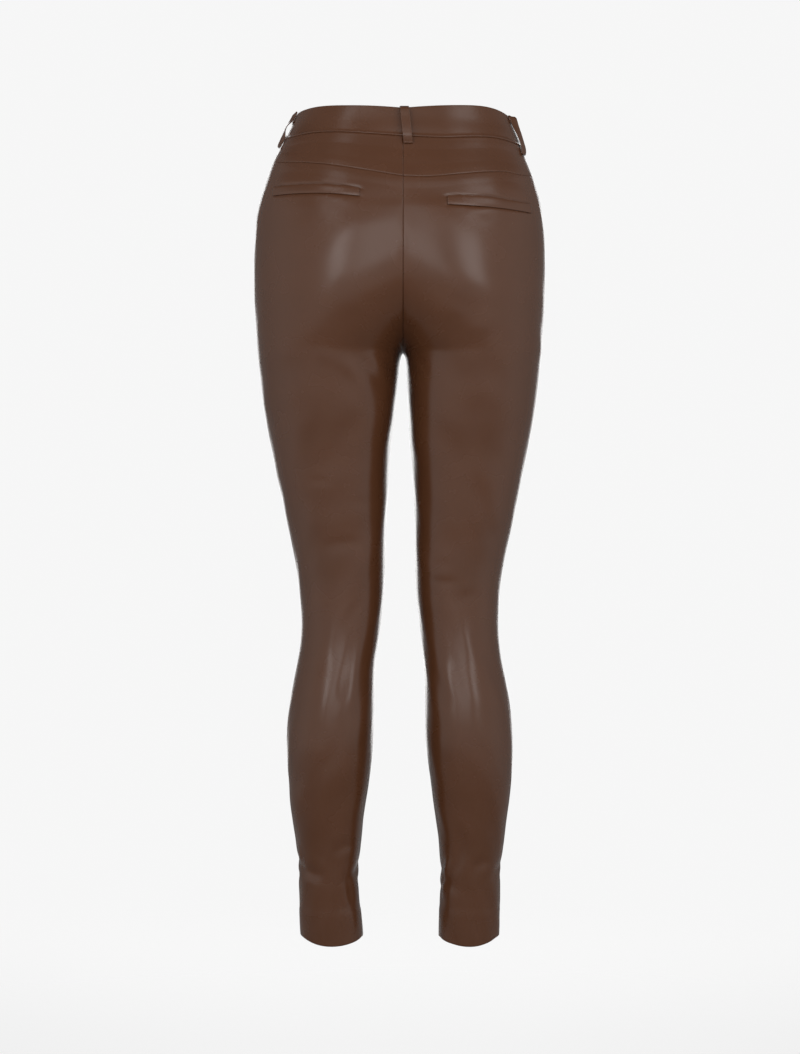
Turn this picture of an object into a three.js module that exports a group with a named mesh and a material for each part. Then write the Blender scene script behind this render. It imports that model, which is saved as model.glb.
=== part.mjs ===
import * as THREE from "three";

// Faux leather trousers, worn shape with nobody in them, in millimetres.
// +Z is up, the front faces -Y and the wearer's left is +X. The origin is the middle of the waist ring.

// Cloth and seam sizes
const clothThickness = 1.5;
const bandThickness = 2.2;
const loopThickness = 1.6;
const seamGap = 0.3;
const halfGap = seamGap / 2;

// Heights, as drops below the waist ring
const crotchDrop = 276.4;
const hemDrop = 956;
const hemBackDip = 9;
const hemFrontLift = 5;

// How many cells the cloth is divided into
const cellsAcross = 12;
const bandRows = 2;
const yokeRows = 3;
const loopCells = 2;

// Colours and finishes of the cloth and the button
const clothColour = 0x5a4234;
const clothRoughness = 0.5;
const buttonColour = 0x4a362b;
const buttonRoughness = 0.4;

// One row for each level of the trunk. The sides are distances from the middle plane. Share says how far
// the leg's own ring would reach past the middle plane, as a share of its outer side.
const trunk = [
  { drop: -8, leftOut: 122, rightOut: 123, share: 1, back: 84, front: 90, middle: -3, round: 2.15 },
  { drop: 0, leftOut: 124.5, rightOut: 125, share: 1, back: 86, front: 92, middle: -3, round: 2.15 },
  { drop: 15, leftOut: 131, rightOut: 130, share: 0.99, back: 89, front: 95, middle: -2, round: 2.15 },
  { drop: 27, leftOut: 137, rightOut: 134.8, share: 0.98, back: 92, front: 97, middle: -1, round: 2.15 },
  { drop: 39, leftOut: 143.5, rightOut: 139, share: 0.97, back: 95, front: 100, middle: 0, round: 2.15 },
  { drop: 51, leftOut: 150, rightOut: 143.2, share: 0.96, back: 99, front: 102, middle: 0, round: 2.15 },
  { drop: 62, leftOut: 154.4, rightOut: 147.4, share: 0.957, back: 103, front: 104, middle: 1, round: 2.15 },
  { drop: 74, leftOut: 158.5, rightOut: 152, share: 0.95, back: 107, front: 106, middle: 2, round: 2.15 },
  { drop: 86, leftOut: 162.5, rightOut: 155.6, share: 0.94, back: 111, front: 107, middle: 3, round: 2.15 },
  { drop: 97, leftOut: 166, rightOut: 159, share: 0.93, back: 114, front: 108, middle: 3, round: 2.15 },
  { drop: 109, leftOut: 168.8, rightOut: 161.3, share: 0.91, back: 117, front: 108, middle: 4, round: 2.15 },
  { drop: 121, leftOut: 170.8, rightOut: 162.8, share: 0.88, back: 120, front: 108, middle: 4, round: 2.15 },
  { drop: 144, leftOut: 172.4, rightOut: 164.6, share: 0.8, back: 124, front: 107, middle: 5, round: 2.15 },
  { drop: 170, leftOut: 173.2, rightOut: 165, share: 0.69, back: 126, front: 106, middle: 6, round: 2.15 },
  { drop: 195, leftOut: 173.2, rightOut: 165, share: 0.55, back: 125, front: 103, middle: 6, round: 2.15 },
  { drop: 215, leftOut: 172.9, rightOut: 164.8, share: 0.415, back: 122, front: 101, middle: 6, round: 2.15 },
  { drop: 235, leftOut: 171.8, rightOut: 163.7, share: 0.27, back: 117, front: 98, middle: 5, round: 2.12 },
  { drop: 255, leftOut: 170.6, rightOut: 162.4, share: 0.12, back: 111, front: 95, middle: 4, round: 2.1 },
];

// One row for each level of the legs, from the crotch down.
const legs = [
  { drop: 276.4, leftOut: 169.3, leftIn: 0.15, rightOut: 161.3, rightIn: 0.15, back: 104, front: 91, middle: 3, round: 2.1 },
  { drop: 285, leftOut: 168.5, leftIn: 3.4, rightOut: 159.8, rightIn: 3.3, back: 102, front: 90, middle: 3, round: 2.1 },
  { drop: 308, leftOut: 166, leftIn: 6.2, rightOut: 157.8, rightIn: 4.7, back: 97, front: 88, middle: 1, round: 2.08 },
  { drop: 331, leftOut: 163.6, leftIn: 8.4, rightOut: 155.5, rightIn: 6, back: 93, front: 86, middle: 0, round: 2.06 },
  { drop: 355, leftOut: 159.5, leftIn: 10.8, rightOut: 151.8, rightIn: 7.1, back: 88, front: 84, middle: -1, round: 2.04 },
  { drop: 378, leftOut: 155.5, leftIn: 14, rightOut: 147.3, rightIn: 8.2, back: 83, front: 82, middle: -2, round: 2 },
  { drop: 402, leftOut: 150.8, leftIn: 16.3, rightOut: 142.7, rightIn: 10.4, back: 78, front: 81, middle: -3, round: 2 },
  { drop: 425, leftOut: 146.2, leftIn: 17.6, rightOut: 138, rightIn: 12, back: 74, front: 79, middle: -4, round: 2 },
  { drop: 448, leftOut: 140.6, leftIn: 18.7, rightOut: 133.4, rightIn: 13, back: 70, front: 77, middle: -5, round: 2 },
  { drop: 472, leftOut: 135.7, leftIn: 19.9, rightOut: 128.7, rightIn: 14, back: 66, front: 75, middle: -6, round: 2 },
  { drop: 495, leftOut: 131, leftIn: 21, rightOut: 123.6, rightIn: 14.2, back: 62, front: 73, middle: -7, round: 2 },
  { drop: 519, leftOut: 126.4, leftIn: 21.4, rightOut: 118.2, rightIn: 14.4, back: 59, front: 71, middle: -8, round: 2 },
  { drop: 542, leftOut: 122.6, leftIn: 22.2, rightOut: 114.6, rightIn: 15.2, back: 56, front: 69, middle: -8, round: 2 },
  { drop: 565, leftOut: 120, leftIn: 23.4, rightOut: 112.4, rightIn: 16.6, back: 54, front: 67, middle: -8, round: 2 },
  { drop: 589, leftOut: 118.4, leftIn: 25.8, rightOut: 111.4, rightIn: 19.4, back: 53, front: 65, middle: -7, round: 2 },
  { drop: 612, leftOut: 119.4, leftIn: 29, rightOut: 112.2, rightIn: 22.2, back: 54, front: 62, middle: -5, round: 2 },
  { drop: 636, leftOut: 122.8, leftIn: 32.4, rightOut: 114.8, rightIn: 24.6, back: 57, front: 59, middle: -3, round: 2 },
  { drop: 659, leftOut: 127.4, leftIn: 34, rightOut: 119.4, rightIn: 25.7, back: 62, front: 56, middle: 0, round: 2 },
  { drop: 682, leftOut: 131.2, leftIn: 34, rightOut: 124, rightIn: 26, back: 66, front: 53, middle: 2, round: 2 },
  { drop: 706, leftOut: 134.4, leftIn: 34.2, rightOut: 126.6, rightIn: 26.2, back: 68, front: 50, middle: 4, round: 2 },
  { drop: 729, leftOut: 135.6, leftIn: 35.2, rightOut: 127.6, rightIn: 27, back: 68, front: 48, middle: 5, round: 2 },
  { drop: 753, leftOut: 134.6, leftIn: 37, rightOut: 127.2, rightIn: 29.4, back: 66, front: 46, middle: 5, round: 2 },
  { drop: 776, leftOut: 132.8, leftIn: 39.8, rightOut: 126, rightIn: 32.6, back: 63, front: 44.5, middle: 5, round: 2 },
  { drop: 799, leftOut: 131.6, leftIn: 43.4, rightOut: 123.8, rightIn: 35.4, back: 59, front: 43, middle: 5, round: 2 },
  { drop: 823, leftOut: 128.6, leftIn: 46.9, rightOut: 120.4, rightIn: 38.8, back: 55, front: 42, middle: 4, round: 2 },
  { drop: 846, leftOut: 125, leftIn: 49.2, rightOut: 117.8, rightIn: 42, back: 51, front: 41, middle: 4, round: 2 },
  { drop: 870, leftOut: 122.6, leftIn: 51.4, rightOut: 114.6, rightIn: 43.4, back: 48, front: 40, middle: 4, round: 2 },
  { drop: 893, leftOut: 121.6, leftIn: 52.4, rightOut: 113.4, rightIn: 43.6, back: 45.8, front: 39.5, middle: 4, round: 2 },
  { drop: 916, leftOut: 120.6, leftIn: 51.2, rightOut: 113.2, rightIn: 43.2, back: 43.4, front: 39.5, middle: 3, round: 2 },
  { drop: 931, leftOut: 120.5, leftIn: 49.2, rightOut: 112.4, rightIn: 42.6, back: 42, front: 40, middle: 3, round: 2 },
  { drop: 945, leftOut: 120, leftIn: 48, rightOut: 112.2, rightIn: 42.2, back: 40.8, front: 40.5, middle: 3, round: 2 },
  { drop: 970, leftOut: 118.4, leftIn: 46.8, rightOut: 111.2, rightIn: 42, back: 39, front: 41, middle: 3, round: 2 },
];

// Where the side seam and the inseam run round each section, in degrees. Zero is the outer side, 90 the back.
const seamAngles = [
  { drop: -8, leftSide: 15, rightSide: 13, inseam: 180 },
  { drop: 57, leftSide: 18, rightSide: 15, inseam: 180 },
  { drop: 100, leftSide: 19, rightSide: 17, inseam: 180 },
  { drop: 144, leftSide: 15, rightSide: 8, inseam: 180 },
  { drop: 175, leftSide: 11, rightSide: 4, inseam: 180 },
  { drop: 215, leftSide: 6, rightSide: 1, inseam: 180 },
  { drop: 300, leftSide: 0, rightSide: 0, inseam: 180 },
  { drop: 600, leftSide: 0, rightSide: 0, inseam: 180 },
  { drop: 900, leftSide: 0, rightSide: 0, inseam: 177 },
  { drop: 970, leftSide: 0, rightSide: 0, inseam: 175 },
];

// Edges that run across the cloth. Across is the distance from the middle plane at the back, and the front
// runs softly from the side seam to its level at the middle.
const bandTop = {
  leftBack: [{ across: 0, drop: 3.2 }, { across: 30, drop: 0.7 }, { across: 60, drop: -1.2 }, { across: 97, drop: -3.2 }, { across: 124, drop: -1.9 }],
  rightBack: [{ across: 0, drop: 3.2 }, { across: 30, drop: 0.7 }, { across: 60, drop: -1.4 }, { across: 90, drop: -2.9 }, { across: 108, drop: -1.4 }, { across: 124, drop: 2.8 }],
  frontMiddle: 7,
};
const bandLow = {
  leftBack: [{ across: 0, drop: 37 }, { across: 29, drop: 34.6 }, { across: 56, drop: 32 }, { across: 75, drop: 30.2 }, { across: 107, drop: 29 }, { across: 137, drop: 31 }],
  rightBack: [{ across: 0, drop: 37 }, { across: 46, drop: 38.3 }, { across: 85, drop: 35.4 }, { across: 105, drop: 34.6 }, { across: 125, drop: 36.6 }, { across: 138, drop: 39 }],
  frontMiddle: 40,
};
const yokeLow = {
  leftBack: [{ across: 0, drop: 84.4 }, { across: 29, drop: 79 }, { across: 54, drop: 74.4 }, { across: 86, drop: 68.4 }, { across: 127, drop: 62 }, { across: 152, drop: 57.6 }],
  rightBack: [{ across: 0, drop: 84.4 }, { across: 33, drop: 84.4 }, { across: 70, drop: 80 }, { across: 117, drop: 74.6 }, { across: 135, drop: 75.6 }, { across: 150, drop: 74 }],
};

// The single welt of each back pocket, from near the middle out to the side seam.
const weltThickness = 1.3;
const weltCells = 10;
const welts = [
  {
    name: "pocket_welt_left", side: "left", from: 49, to: 149,
    top: [{ across: 48, drop: 98 }, { across: 75, drop: 94 }, { across: 95, drop: 92 }, { across: 128, drop: 90.5 }, { across: 150, drop: 89.5 }],
    low: [{ across: 48, drop: 107.4 }, { across: 75, drop: 104 }, { across: 95, drop: 102.4 }, { across: 128, drop: 101 }, { across: 150, drop: 100.4 }],
  },
  {
    name: "pocket_welt_right", side: "right", from: 50, to: 147,
    top: [{ across: 48, drop: 106.7 }, { across: 92, drop: 106.2 }, { across: 122, drop: 108.6 }, { across: 148, drop: 110 }],
    low: [{ across: 48, drop: 117.1 }, { across: 90, drop: 118 }, { across: 122, drop: 119.4 }, { across: 148, drop: 120.4 }],
  },
];

// Belt loops. The angles are round the section, lean is the turn from the top to the foot, stand is how far
// the strap stands off the waistband, and twist turns its face towards the back. A square strap turns out
// sharply at its top, a leaning one comes back slowly, and a humped one stands off most half way down.
const loopWidth = 10.5;
const loops = [
  { name: "belt_loop_back", side: "right", angle: 89.4, lean: -0.7, top: 3.4, low: 45.2, stand: 5.8, twist: 0, bend: "square" },
  { name: "belt_loop_left", side: "left", angle: 9, lean: 0, top: -1.8, low: 38.6, stand: 4.5, twist: 0.12, bend: "humped" },
  { name: "belt_loop_right", side: "right", angle: 16, lean: 0, top: 4.4, low: 48.5, stand: 5.4, twist: 0.24, bend: "leaning" },
  { name: "belt_loop_front_left", side: "left", angle: -58, lean: 0, top: 3.5, low: 45.5, stand: 5, twist: 0, bend: "square" },
  { name: "belt_loop_front_right", side: "right", angle: -58, lean: 0, top: 3.5, low: 47.5, stand: 5, twist: 0, bend: "square" },
];
const loopBends = {
  square: [
    { along: 0, stand: 0 }, { along: 0.02, stand: 0.5 }, { along: 0.06, stand: 0.9 }, { along: 0.13, stand: 1 },
    { along: 0.34, stand: 1 }, { along: 0.58, stand: 0.98 }, { along: 0.72, stand: 0.94 }, { along: 0.84, stand: 0.82 },
    { along: 0.93, stand: 0.42 }, { along: 1, stand: 0 },
  ],
  leaning: [
    { along: 0, stand: 0 }, { along: 0.02, stand: 0.5 }, { along: 0.06, stand: 0.9 }, { along: 0.13, stand: 1 },
    { along: 0.34, stand: 0.8 }, { along: 0.58, stand: 0.64 }, { along: 0.72, stand: 0.58 }, { along: 0.84, stand: 0.54 },
    { along: 0.93, stand: 0.3 }, { along: 1, stand: 0 },
  ],
  humped: [
    { along: 0, stand: 0 }, { along: 0.1, stand: 0.28 }, { along: 0.2, stand: 0.52 }, { along: 0.3, stand: 0.75 },
    { along: 0.4, stand: 0.93 }, { along: 0.5, stand: 1 }, { along: 0.6, stand: 0.94 }, { along: 0.7, stand: 0.76 },
    { along: 0.84, stand: 0.4 }, { along: 1, stand: 0 },
  ],
};

// Soft folds at the ankles. Deep is how far the cloth is drawn in, and lean tilts the fold.
const ankleFolds = [
  { side: "left", drop: 872, angle: 20, deep: 2.2, high: 7, wide: 42, lean: 10 },
  { side: "left", drop: 889, angle: -12, deep: 1.6, high: 6, wide: 34, lean: -8 },
  { side: "left", drop: 876, angle: 164, deep: 2, high: 7, wide: 36, lean: -9 },
  { side: "left", drop: 894, angle: 190, deep: 1.2, high: 5, wide: 28, lean: 6 },
  { side: "right", drop: 884, angle: 166, deep: 2.4, high: 8, wide: 40, lean: -10 },
  { side: "right", drop: 902, angle: 188, deep: 1.4, high: 5, wide: 30, lean: 8 },
  { side: "right", drop: 874, angle: 14, deep: 1.3, high: 7, wide: 30, lean: 7 },
  { side: "right", drop: 893, angle: -24, deep: 1.5, high: 6, wide: 38, lean: -10 },
  { side: "left", drop: 868, angle: -88, deep: 1.6, high: 8, wide: 40, lean: 4 },
  { side: "right", drop: 866, angle: -92, deep: 1.7, high: 8, wide: 40, lean: -4 },
];

// The front lap of the waistband and its button
const bandProud = 0.4;
const lapStations = 2;
const lapClearance = 0.5;
const rampFrom = 0.8;
const buttonRadius = 8.5;
const buttonHeight = 3;
const buttonRimHeight = 0.9;
const buttonRimWidth = 1.6;
const buttonChamfer = 0.6;
const buttonClearance = 0.55;
const buttonSegments = 28;
const buttonDrop = 23;
const buttonAcross = 7;

// Rows of cells down the panels, and how soon they leave the shape of the edge above or below
const trunkRows = 14;
const legSteps = [{ to: 300, step: 8 }, { to: 828, step: 28 }, { to: 918, step: 11 }, { to: hemDrop, step: 12 }];
const edgeFadeRows = 6;
const hemFade = 34;
const rowSag = 1.6;

const rad = Math.PI / 180;

// A smooth curve through the values of a table, read at any level
function curve(rows, column, key = "drop") {
  const at = rows.map((row) => row[key]);
  const values = rows.map((row) => row[column]);
  const slopes = values.map((value, i) => {
    const a = Math.max(i - 1, 0);
    const b = Math.min(i + 1, values.length - 1);
    return (values[b] - values[a]) / (at[b] - at[a]);
  });
  return (x) => {
    if (x <= at[0]) return values[0];
    if (x >= at.at(-1)) return values.at(-1);
    const i = at.findIndex((level) => level > x) - 1;
    const width = at[i + 1] - at[i];
    const t = (x - at[i]) / width;
    const rise = t * t * (3 - 2 * t);
    const lead = t * (1 - t) * (1 - t) * width;
    const tail = t * t * (t - 1) * width;
    return values[i] * (1 - rise) + values[i + 1] * rise + slopes[i] * lead + slopes[i + 1] * tail;
  };
}

// The trunk's inner side lies past the middle plane, so it counts as below zero.
const levels = trunk
  .map((row) => ({ ...row, leftIn: -row.share * row.leftOut, rightIn: -row.share * row.rightOut }))
  .concat(legs);
const read = {
  left: { out: curve(levels, "leftOut"), inner: curve(levels, "leftIn"), seam: curve(seamAngles, "leftSide") },
  right: { out: curve(levels, "rightOut"), inner: curve(levels, "rightIn"), seam: curve(seamAngles, "rightSide") },
  back: curve(levels, "back"),
  front: curve(levels, "front"),
  middle: curve(levels, "middle"),
  round: curve(levels, "round"),
  inseam: curve(seamAngles, "inseam"),
};

function foldDepth(side, angle, drop) {
  return ankleFolds
    .filter((fold) => fold.side === side)
    .reduce((sum, fold) => {
      const away = ((angle / rad - fold.angle + 540) % 360) - 180;
      const level = (drop - fold.drop - (fold.lean * away) / fold.wide) / fold.high;
      return sum + fold.deep * Math.exp(-level * level) * Math.exp(-((away / fold.wide) ** 2));
    }, 0);
}

// Below the crotch the inner half of a leg is fuller than the outer half
const innerFullness = 0.55;
const fullFrom = 262;
const fullOver = 90;

// A point of the outer cloth, with x measured from the middle plane out to that side
function ringPoint(side, angle, drop) {
  const out = read[side].out(drop);
  const inner = read[side].inner(drop);
  const half = (out - inner) / 2;
  const middle = read.middle(drop);
  const across = Math.cos(angle);
  const along = Math.sin(angle);
  const depth = along > 0 ? read.back(drop) - middle : read.front(drop) + middle;
  const round = read.round(drop) + (across < 0 ? innerFullness * (1 - smoothFade((drop - fullFrom) / fullOver)) : 0);
  const reach = (Math.abs(across) ** round + Math.abs(along) ** round) ** (-1 / round);
  const eased = reach * (1 - foldDepth(side, angle, drop) / half);
  return new THREE.Vector3((out + inner) / 2 + half * eased * across, middle + depth * eased * along, -drop);
}

function skin(side, angle, drop) {
  const turn = 0.4 * rad;
  const rise = 0.8;
  const round = ringPoint(side, angle + turn, drop).sub(ringPoint(side, angle - turn, drop));
  const down = ringPoint(side, angle, drop + rise).sub(ringPoint(side, angle, drop - rise));
  return { point: ringPoint(side, angle, drop), normal: down.cross(round).normalize() };
}

// The angle of the ring at which a test turns from false to true
function turnWhere(test, from, to) {
  let low = from;
  let high = to;
  for (let i = 0; i < 40; i += 1) {
    const middle = (low + high) / 2;
    if (test(middle)) high = middle;
    else low = middle;
  }
  return (low + high) / 2;
}

const facing = { back: 1, front: -1 };

function angleSpeed(side, angle, drop) {
  const turn = 0.4 * rad;
  return ringPoint(side, angle + turn, drop).distanceTo(ringPoint(side, angle - turn, drop)) / (2 * turn);
}

// The angle at which a panel starts, at the side seam
function sideAngle(side, face, drop) {
  const seam = read[side].seam(drop) * rad;
  return seam + (facing[face] * halfGap) / angleSpeed(side, seam, drop);
}

// The angle at which a panel ends, at the middle seam above the crotch and at the inseam below it
function innerAngle(side, face, drop) {
  const inseam = face === "back" ? read.inseam(drop) * rad : (read.inseam(drop) - 360) * rad;
  const last = inseam - (facing[face] * halfGap) / angleSpeed(side, inseam, drop);
  const pastMiddle = (angle) => ringPoint(side, angle, drop).x < halfGap;
  return pastMiddle(last) ? turnWhere(pastMiddle, facing[face] * 80 * rad, last) : last;
}

// The angle of a column between the two. Zero is the side seam and one is the inner edge.
function columnAngle(side, face, column, drop) {
  const start = sideAngle(side, face, drop);
  return start + (innerAngle(side, face, drop) - start) * column;
}

// The level of an edge at a column
function edgeLevel(edge, side, face, column) {
  const rows = edge[`${side}Back`];
  const level = curve(rows, "drop", "across");
  const backColumn = face === "back" ? column : 0;
  let drop = rows[0].drop;
  for (let i = 0; i < 8; i += 1) {
    drop = level(ringPoint(side, columnAngle(side, "back", backColumn, drop), drop).x);
  }
  return face === "back" ? drop : edge.frontMiddle + (drop - edge.frontMiddle) * smoothFade(column);
}

function hemLevel(side, face, column) {
  const angle = columnAngle(side, face, column, hemDrop);
  const bulge = Math.sin(angle) ** 2;
  const corner = face === "front" ? 2 * Math.max(0, column - 0.85) / 0.15 : 0;
  return hemDrop + corner + (face === "back" ? hemBackDip : -hemFrontLift) * bulge;
}

function smoothFade(x) {
  const t = Math.min(Math.max(x, 0), 1);
  return 1 - t * t * (3 - 2 * t);
}

// The middle seam from a level down to the crotch, as even steps along its curve
function middleSeam(side, face, from) {
  const pieces = 200;
  const spots = Array.from({ length: pieces + 1 }, (_, i) => {
    const left = 1 - i / pieces;
    const drop = crotchDrop - (crotchDrop - from) * left * left;
    const angle = innerAngle(side, face, drop);
    return { drop, angle, point: ringPoint(side, angle, drop) };
  });
  const lengths = spots.map(() => 0);
  spots.slice(1).forEach((spot, i) => {
    lengths[i + 1] = lengths[i] + spot.point.distanceTo(spots[i].point);
  });
  return Array.from({ length: trunkRows + 1 }, (_, k) => {
    const wanted = (lengths.at(-1) * k) / trunkRows;
    return spots[Math.max(lengths.findIndex((length) => length >= wanted - 1e-6), 0)];
  });
}

function legLevels() {
  const list = [crotchDrop];
  legSteps.forEach(({ to, step }) => {
    const from = list.at(-1);
    const count = Math.round((to - from) / step);
    for (let i = 1; i <= count; i += 1) list.push(from + ((to - from) * i) / count);
  });
  return list.slice(1);
}

// Turns points of the cloth into a closed wall between two distances off the skin
function wall(name, side, grid, outside, inside) {
  const rows = grid.length;
  const columns = grid[0].length;
  const mirror = side === "right" ? -1 : 1;
  const points = [];
  [outside, inside].forEach((offset) => {
    grid.forEach((row, j) => row.forEach((spot, i) => {
      const distance = typeof offset === "function" ? offset(j, i) : offset;
      const p = spot.point.clone().addScaledVector(spot.normal, distance);
      points.push(p.x * (spot.mirror ?? mirror), p.y, p.z);
    }));
  });
  const at = (layer, j, i) => layer * rows * columns + j * columns + i;
  const faces = [];
  const quad = (a, b, c, d) => faces.push(a, b, c, a, c, d);
  // Each cell is cut along its shorter diagonal, the same way on both faces of the wall.
  for (let j = 0; j + 1 < rows; j += 1) {
    for (let i = 0; i + 1 < columns; i += 1) {
      const down = grid[j][i].point.distanceTo(grid[j + 1][i + 1].point);
      const up = grid[j + 1][i].point.distanceTo(grid[j][i + 1].point);
      const outer = [at(0, j, i), at(0, j + 1, i), at(0, j + 1, i + 1), at(0, j, i + 1)];
      const inner = [at(1, j, i), at(1, j, i + 1), at(1, j + 1, i + 1), at(1, j + 1, i)];
      quad(...(down < up ? outer : [...outer.slice(1), outer[0]]));
      quad(...(down < up ? inner : [...inner.slice(1), inner[0]]));
    }
  }
  for (let i = 0; i + 1 < columns; i += 1) {
    quad(at(0, 0, i), at(0, 0, i + 1), at(1, 0, i + 1), at(1, 0, i));
    quad(at(0, rows - 1, i), at(1, rows - 1, i), at(1, rows - 1, i + 1), at(0, rows - 1, i + 1));
  }
  for (let j = 0; j + 1 < rows; j += 1) {
    quad(at(0, j, 0), at(1, j, 0), at(1, j + 1, 0), at(0, j + 1, 0));
    quad(at(0, j, columns - 1), at(0, j + 1, columns - 1), at(1, j + 1, columns - 1), at(1, j, columns - 1));
  }
  return solid(name, points, faces, clothColour, clothRoughness);
}

// A named body whose faces all look outward
function solid(name, points, faces, colour, roughness) {
  const corner = (k) => new THREE.Vector3(points[3 * k], points[3 * k + 1], points[3 * k + 2]);
  let volume = 0;
  for (let i = 0; i < faces.length; i += 3) {
    volume += corner(faces[i]).dot(corner(faces[i + 1]).cross(corner(faces[i + 2])));
  }
  const ordered = volume > 0 ? faces : faces.map((_, i) => faces[i - (i % 3) + (2 - (i % 3))]);
  const shape = new THREE.BufferGeometry();
  shape.setAttribute("position", new THREE.Float32BufferAttribute(points, 3));
  shape.setIndex(ordered);
  shape.computeVertexNormals();
  const finish = new THREE.MeshStandardMaterial({ color: colour, roughness, metalness: 0 });
  const body = new THREE.Mesh(shape, finish);
  body.name = name;
  return body;
}

function columnsOf(count) {
  return Array.from({ length: count + 1 }, (_, i) => i / count);
}

// The rows of cells between two edges that run across the cloth
function rowsBetween(side, face, tops, lows) {
  return columnsOf(yokeRows).map((share) => columnsOf(cellsAcross).map((column, i) => {
    const drop = tops[i] + (lows[i] - tops[i]) * share;
    return skin(side, columnAngle(side, face, column, drop), drop);
  }));
}

// A long panel, from the yoke seam or the waistband down one leg. The front has the same rows as the back
// at the side seam, so that the two meet point to point.
function legPanel(name, side, face) {
  const columns = columnsOf(cellsAcross);
  const sideTop = edgeLevel(yokeLow, side, "back", 0) + seamGap;
  const tops = columns.map((column) => (face === "back" ? edgeLevel(yokeLow, side, face, column) + seamGap : sideTop));
  const seam = middleSeam(side, face, tops.at(-1));
  const sagged = (k, column) => {
    const sideDrop = sideTop + ((crotchDrop - sideTop) * k) / trunkRows;
    return sideDrop + (seam[k].drop - sideDrop) * column ** rowSag;
  };
  const trunkGrid = seam.map((edge, k) => columns.map((column, i) => {
    const nearTop = smoothFade(k / edgeFadeRows);
    const drop = sagged(k, column) + (tops[i] - sagged(0, column)) * nearTop;
    const start = sideAngle(side, face, drop);
    const end = edge.angle + (innerAngle(side, face, drop) - edge.angle) * nearTop;
    return skin(side, start + (end - start) * column, drop);
  }));
  const legGrid = legLevels().map((level) => columns.map((column) => {
    const drop = level + (hemLevel(side, face, column) - hemDrop) * smoothFade((hemDrop - level) / hemFade);
    return skin(side, columnAngle(side, face, column, drop), drop);
  }));
  const grid = [...trunkGrid, ...legGrid];
  if (face === "front") {
    const bandEdge = columns.map((column) => edgeLevel(bandLow, side, face, column) + seamGap);
    grid.unshift(...rowsBetween(side, face, bandEdge, tops).slice(0, -1));
  }
  return wall(name, side, grid, 0, -clothThickness);
}

function yokePanel(name, side) {
  const columns = columnsOf(cellsAcross);
  const tops = columns.map((column) => edgeLevel(bandLow, side, "back", column) + seamGap);
  const lows = columns.map((column) => edgeLevel(yokeLow, side, "back", column));
  return wall(name, side, rowsBetween(side, "back", tops, lows), 0, -clothThickness);
}

// The waistband runs once round from its left front end, and its right front end laps over the left.
function waistband() {
  const columns = columnsOf(cellsAcross);
  const inward = columns.toReversed();
  const stations = [
    ...inward.map((column) => ({ side: "left", face: "front", column })),
    ...columns.slice(1).map((column) => ({ side: "left", face: "back", column })),
    ...inward.slice(1).map((column) => ({ side: "right", face: "back", column })),
    ...columns.slice(1).map((column) => ({ side: "right", face: "front", column })),
    ...inward.slice(1, lapStations + 1).map((column) => ({ side: "left", face: "front", column, lap: true })),
  ];
  const lapLift = bandThickness + lapClearance;
  const lifts = stations.map(({ side, face, column, lap }) => {
    if (lap) return lapLift;
    return side === "right" && face === "front" ? lapLift * (1 - smoothFade((column - rampFrom) / (1 - rampFrom))) : 0;
  });
  const grid = columnsOf(bandRows).map((share) => stations.map(({ side, face, column }) => {
    const top = edgeLevel(bandTop, side, face, column);
    const drop = top + (edgeLevel(bandLow, side, face, column) - top) * share;
    return { ...skin(side, columnAngle(side, face, column, drop), drop), mirror: side === "right" ? -1 : 1 };
  }));
  return wall("waistband", "left", grid, (j, i) => bandProud + lifts[i], (j, i) => bandProud + lifts[i] - bandThickness);
}

function pocketWelt({ name, side, from, to, top, low }) {
  const topLevel = curve(top, "drop", "across");
  const lowLevel = curve(low, "drop", "across");
  const grid = columnsOf(1).map((share) => columnsOf(weltCells).map((column) => {
    const across = from + (to - from) * column;
    const drop = topLevel(across) + (lowLevel(across) - topLevel(across)) * share;
    const angle = turnWhere((turn) => ringPoint(side, turn, drop).x < across, 2 * rad, 120 * rad);
    return skin(side, angle, drop);
  }));
  return wall(name, side, grid, seamGap + weltThickness, seamGap);
}

function beltLoop({ name, side, angle, lean, top, low, stand, twist, bend }) {
  const rest = bandProud + seamGap;
  const profile = loopBends[bend];
  const grid = profile.map(({ along }) => columnsOf(loopCells).map((column) => {
    const drop = top + (low - top) * along;
    const centre = (angle + lean * along) * rad;
    const turn = ((column - 0.5) * loopWidth) / angleSpeed(side, centre, drop);
    return skin(side, centre + turn, drop);
  }));
  const lift = (j, i) => rest + stand * profile[j].stand * (1 - twist * ((2 * i) / loopCells - 1));
  return wall(name, side, grid, (j, i) => lift(j, i) + loopThickness, lift);
}

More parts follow.
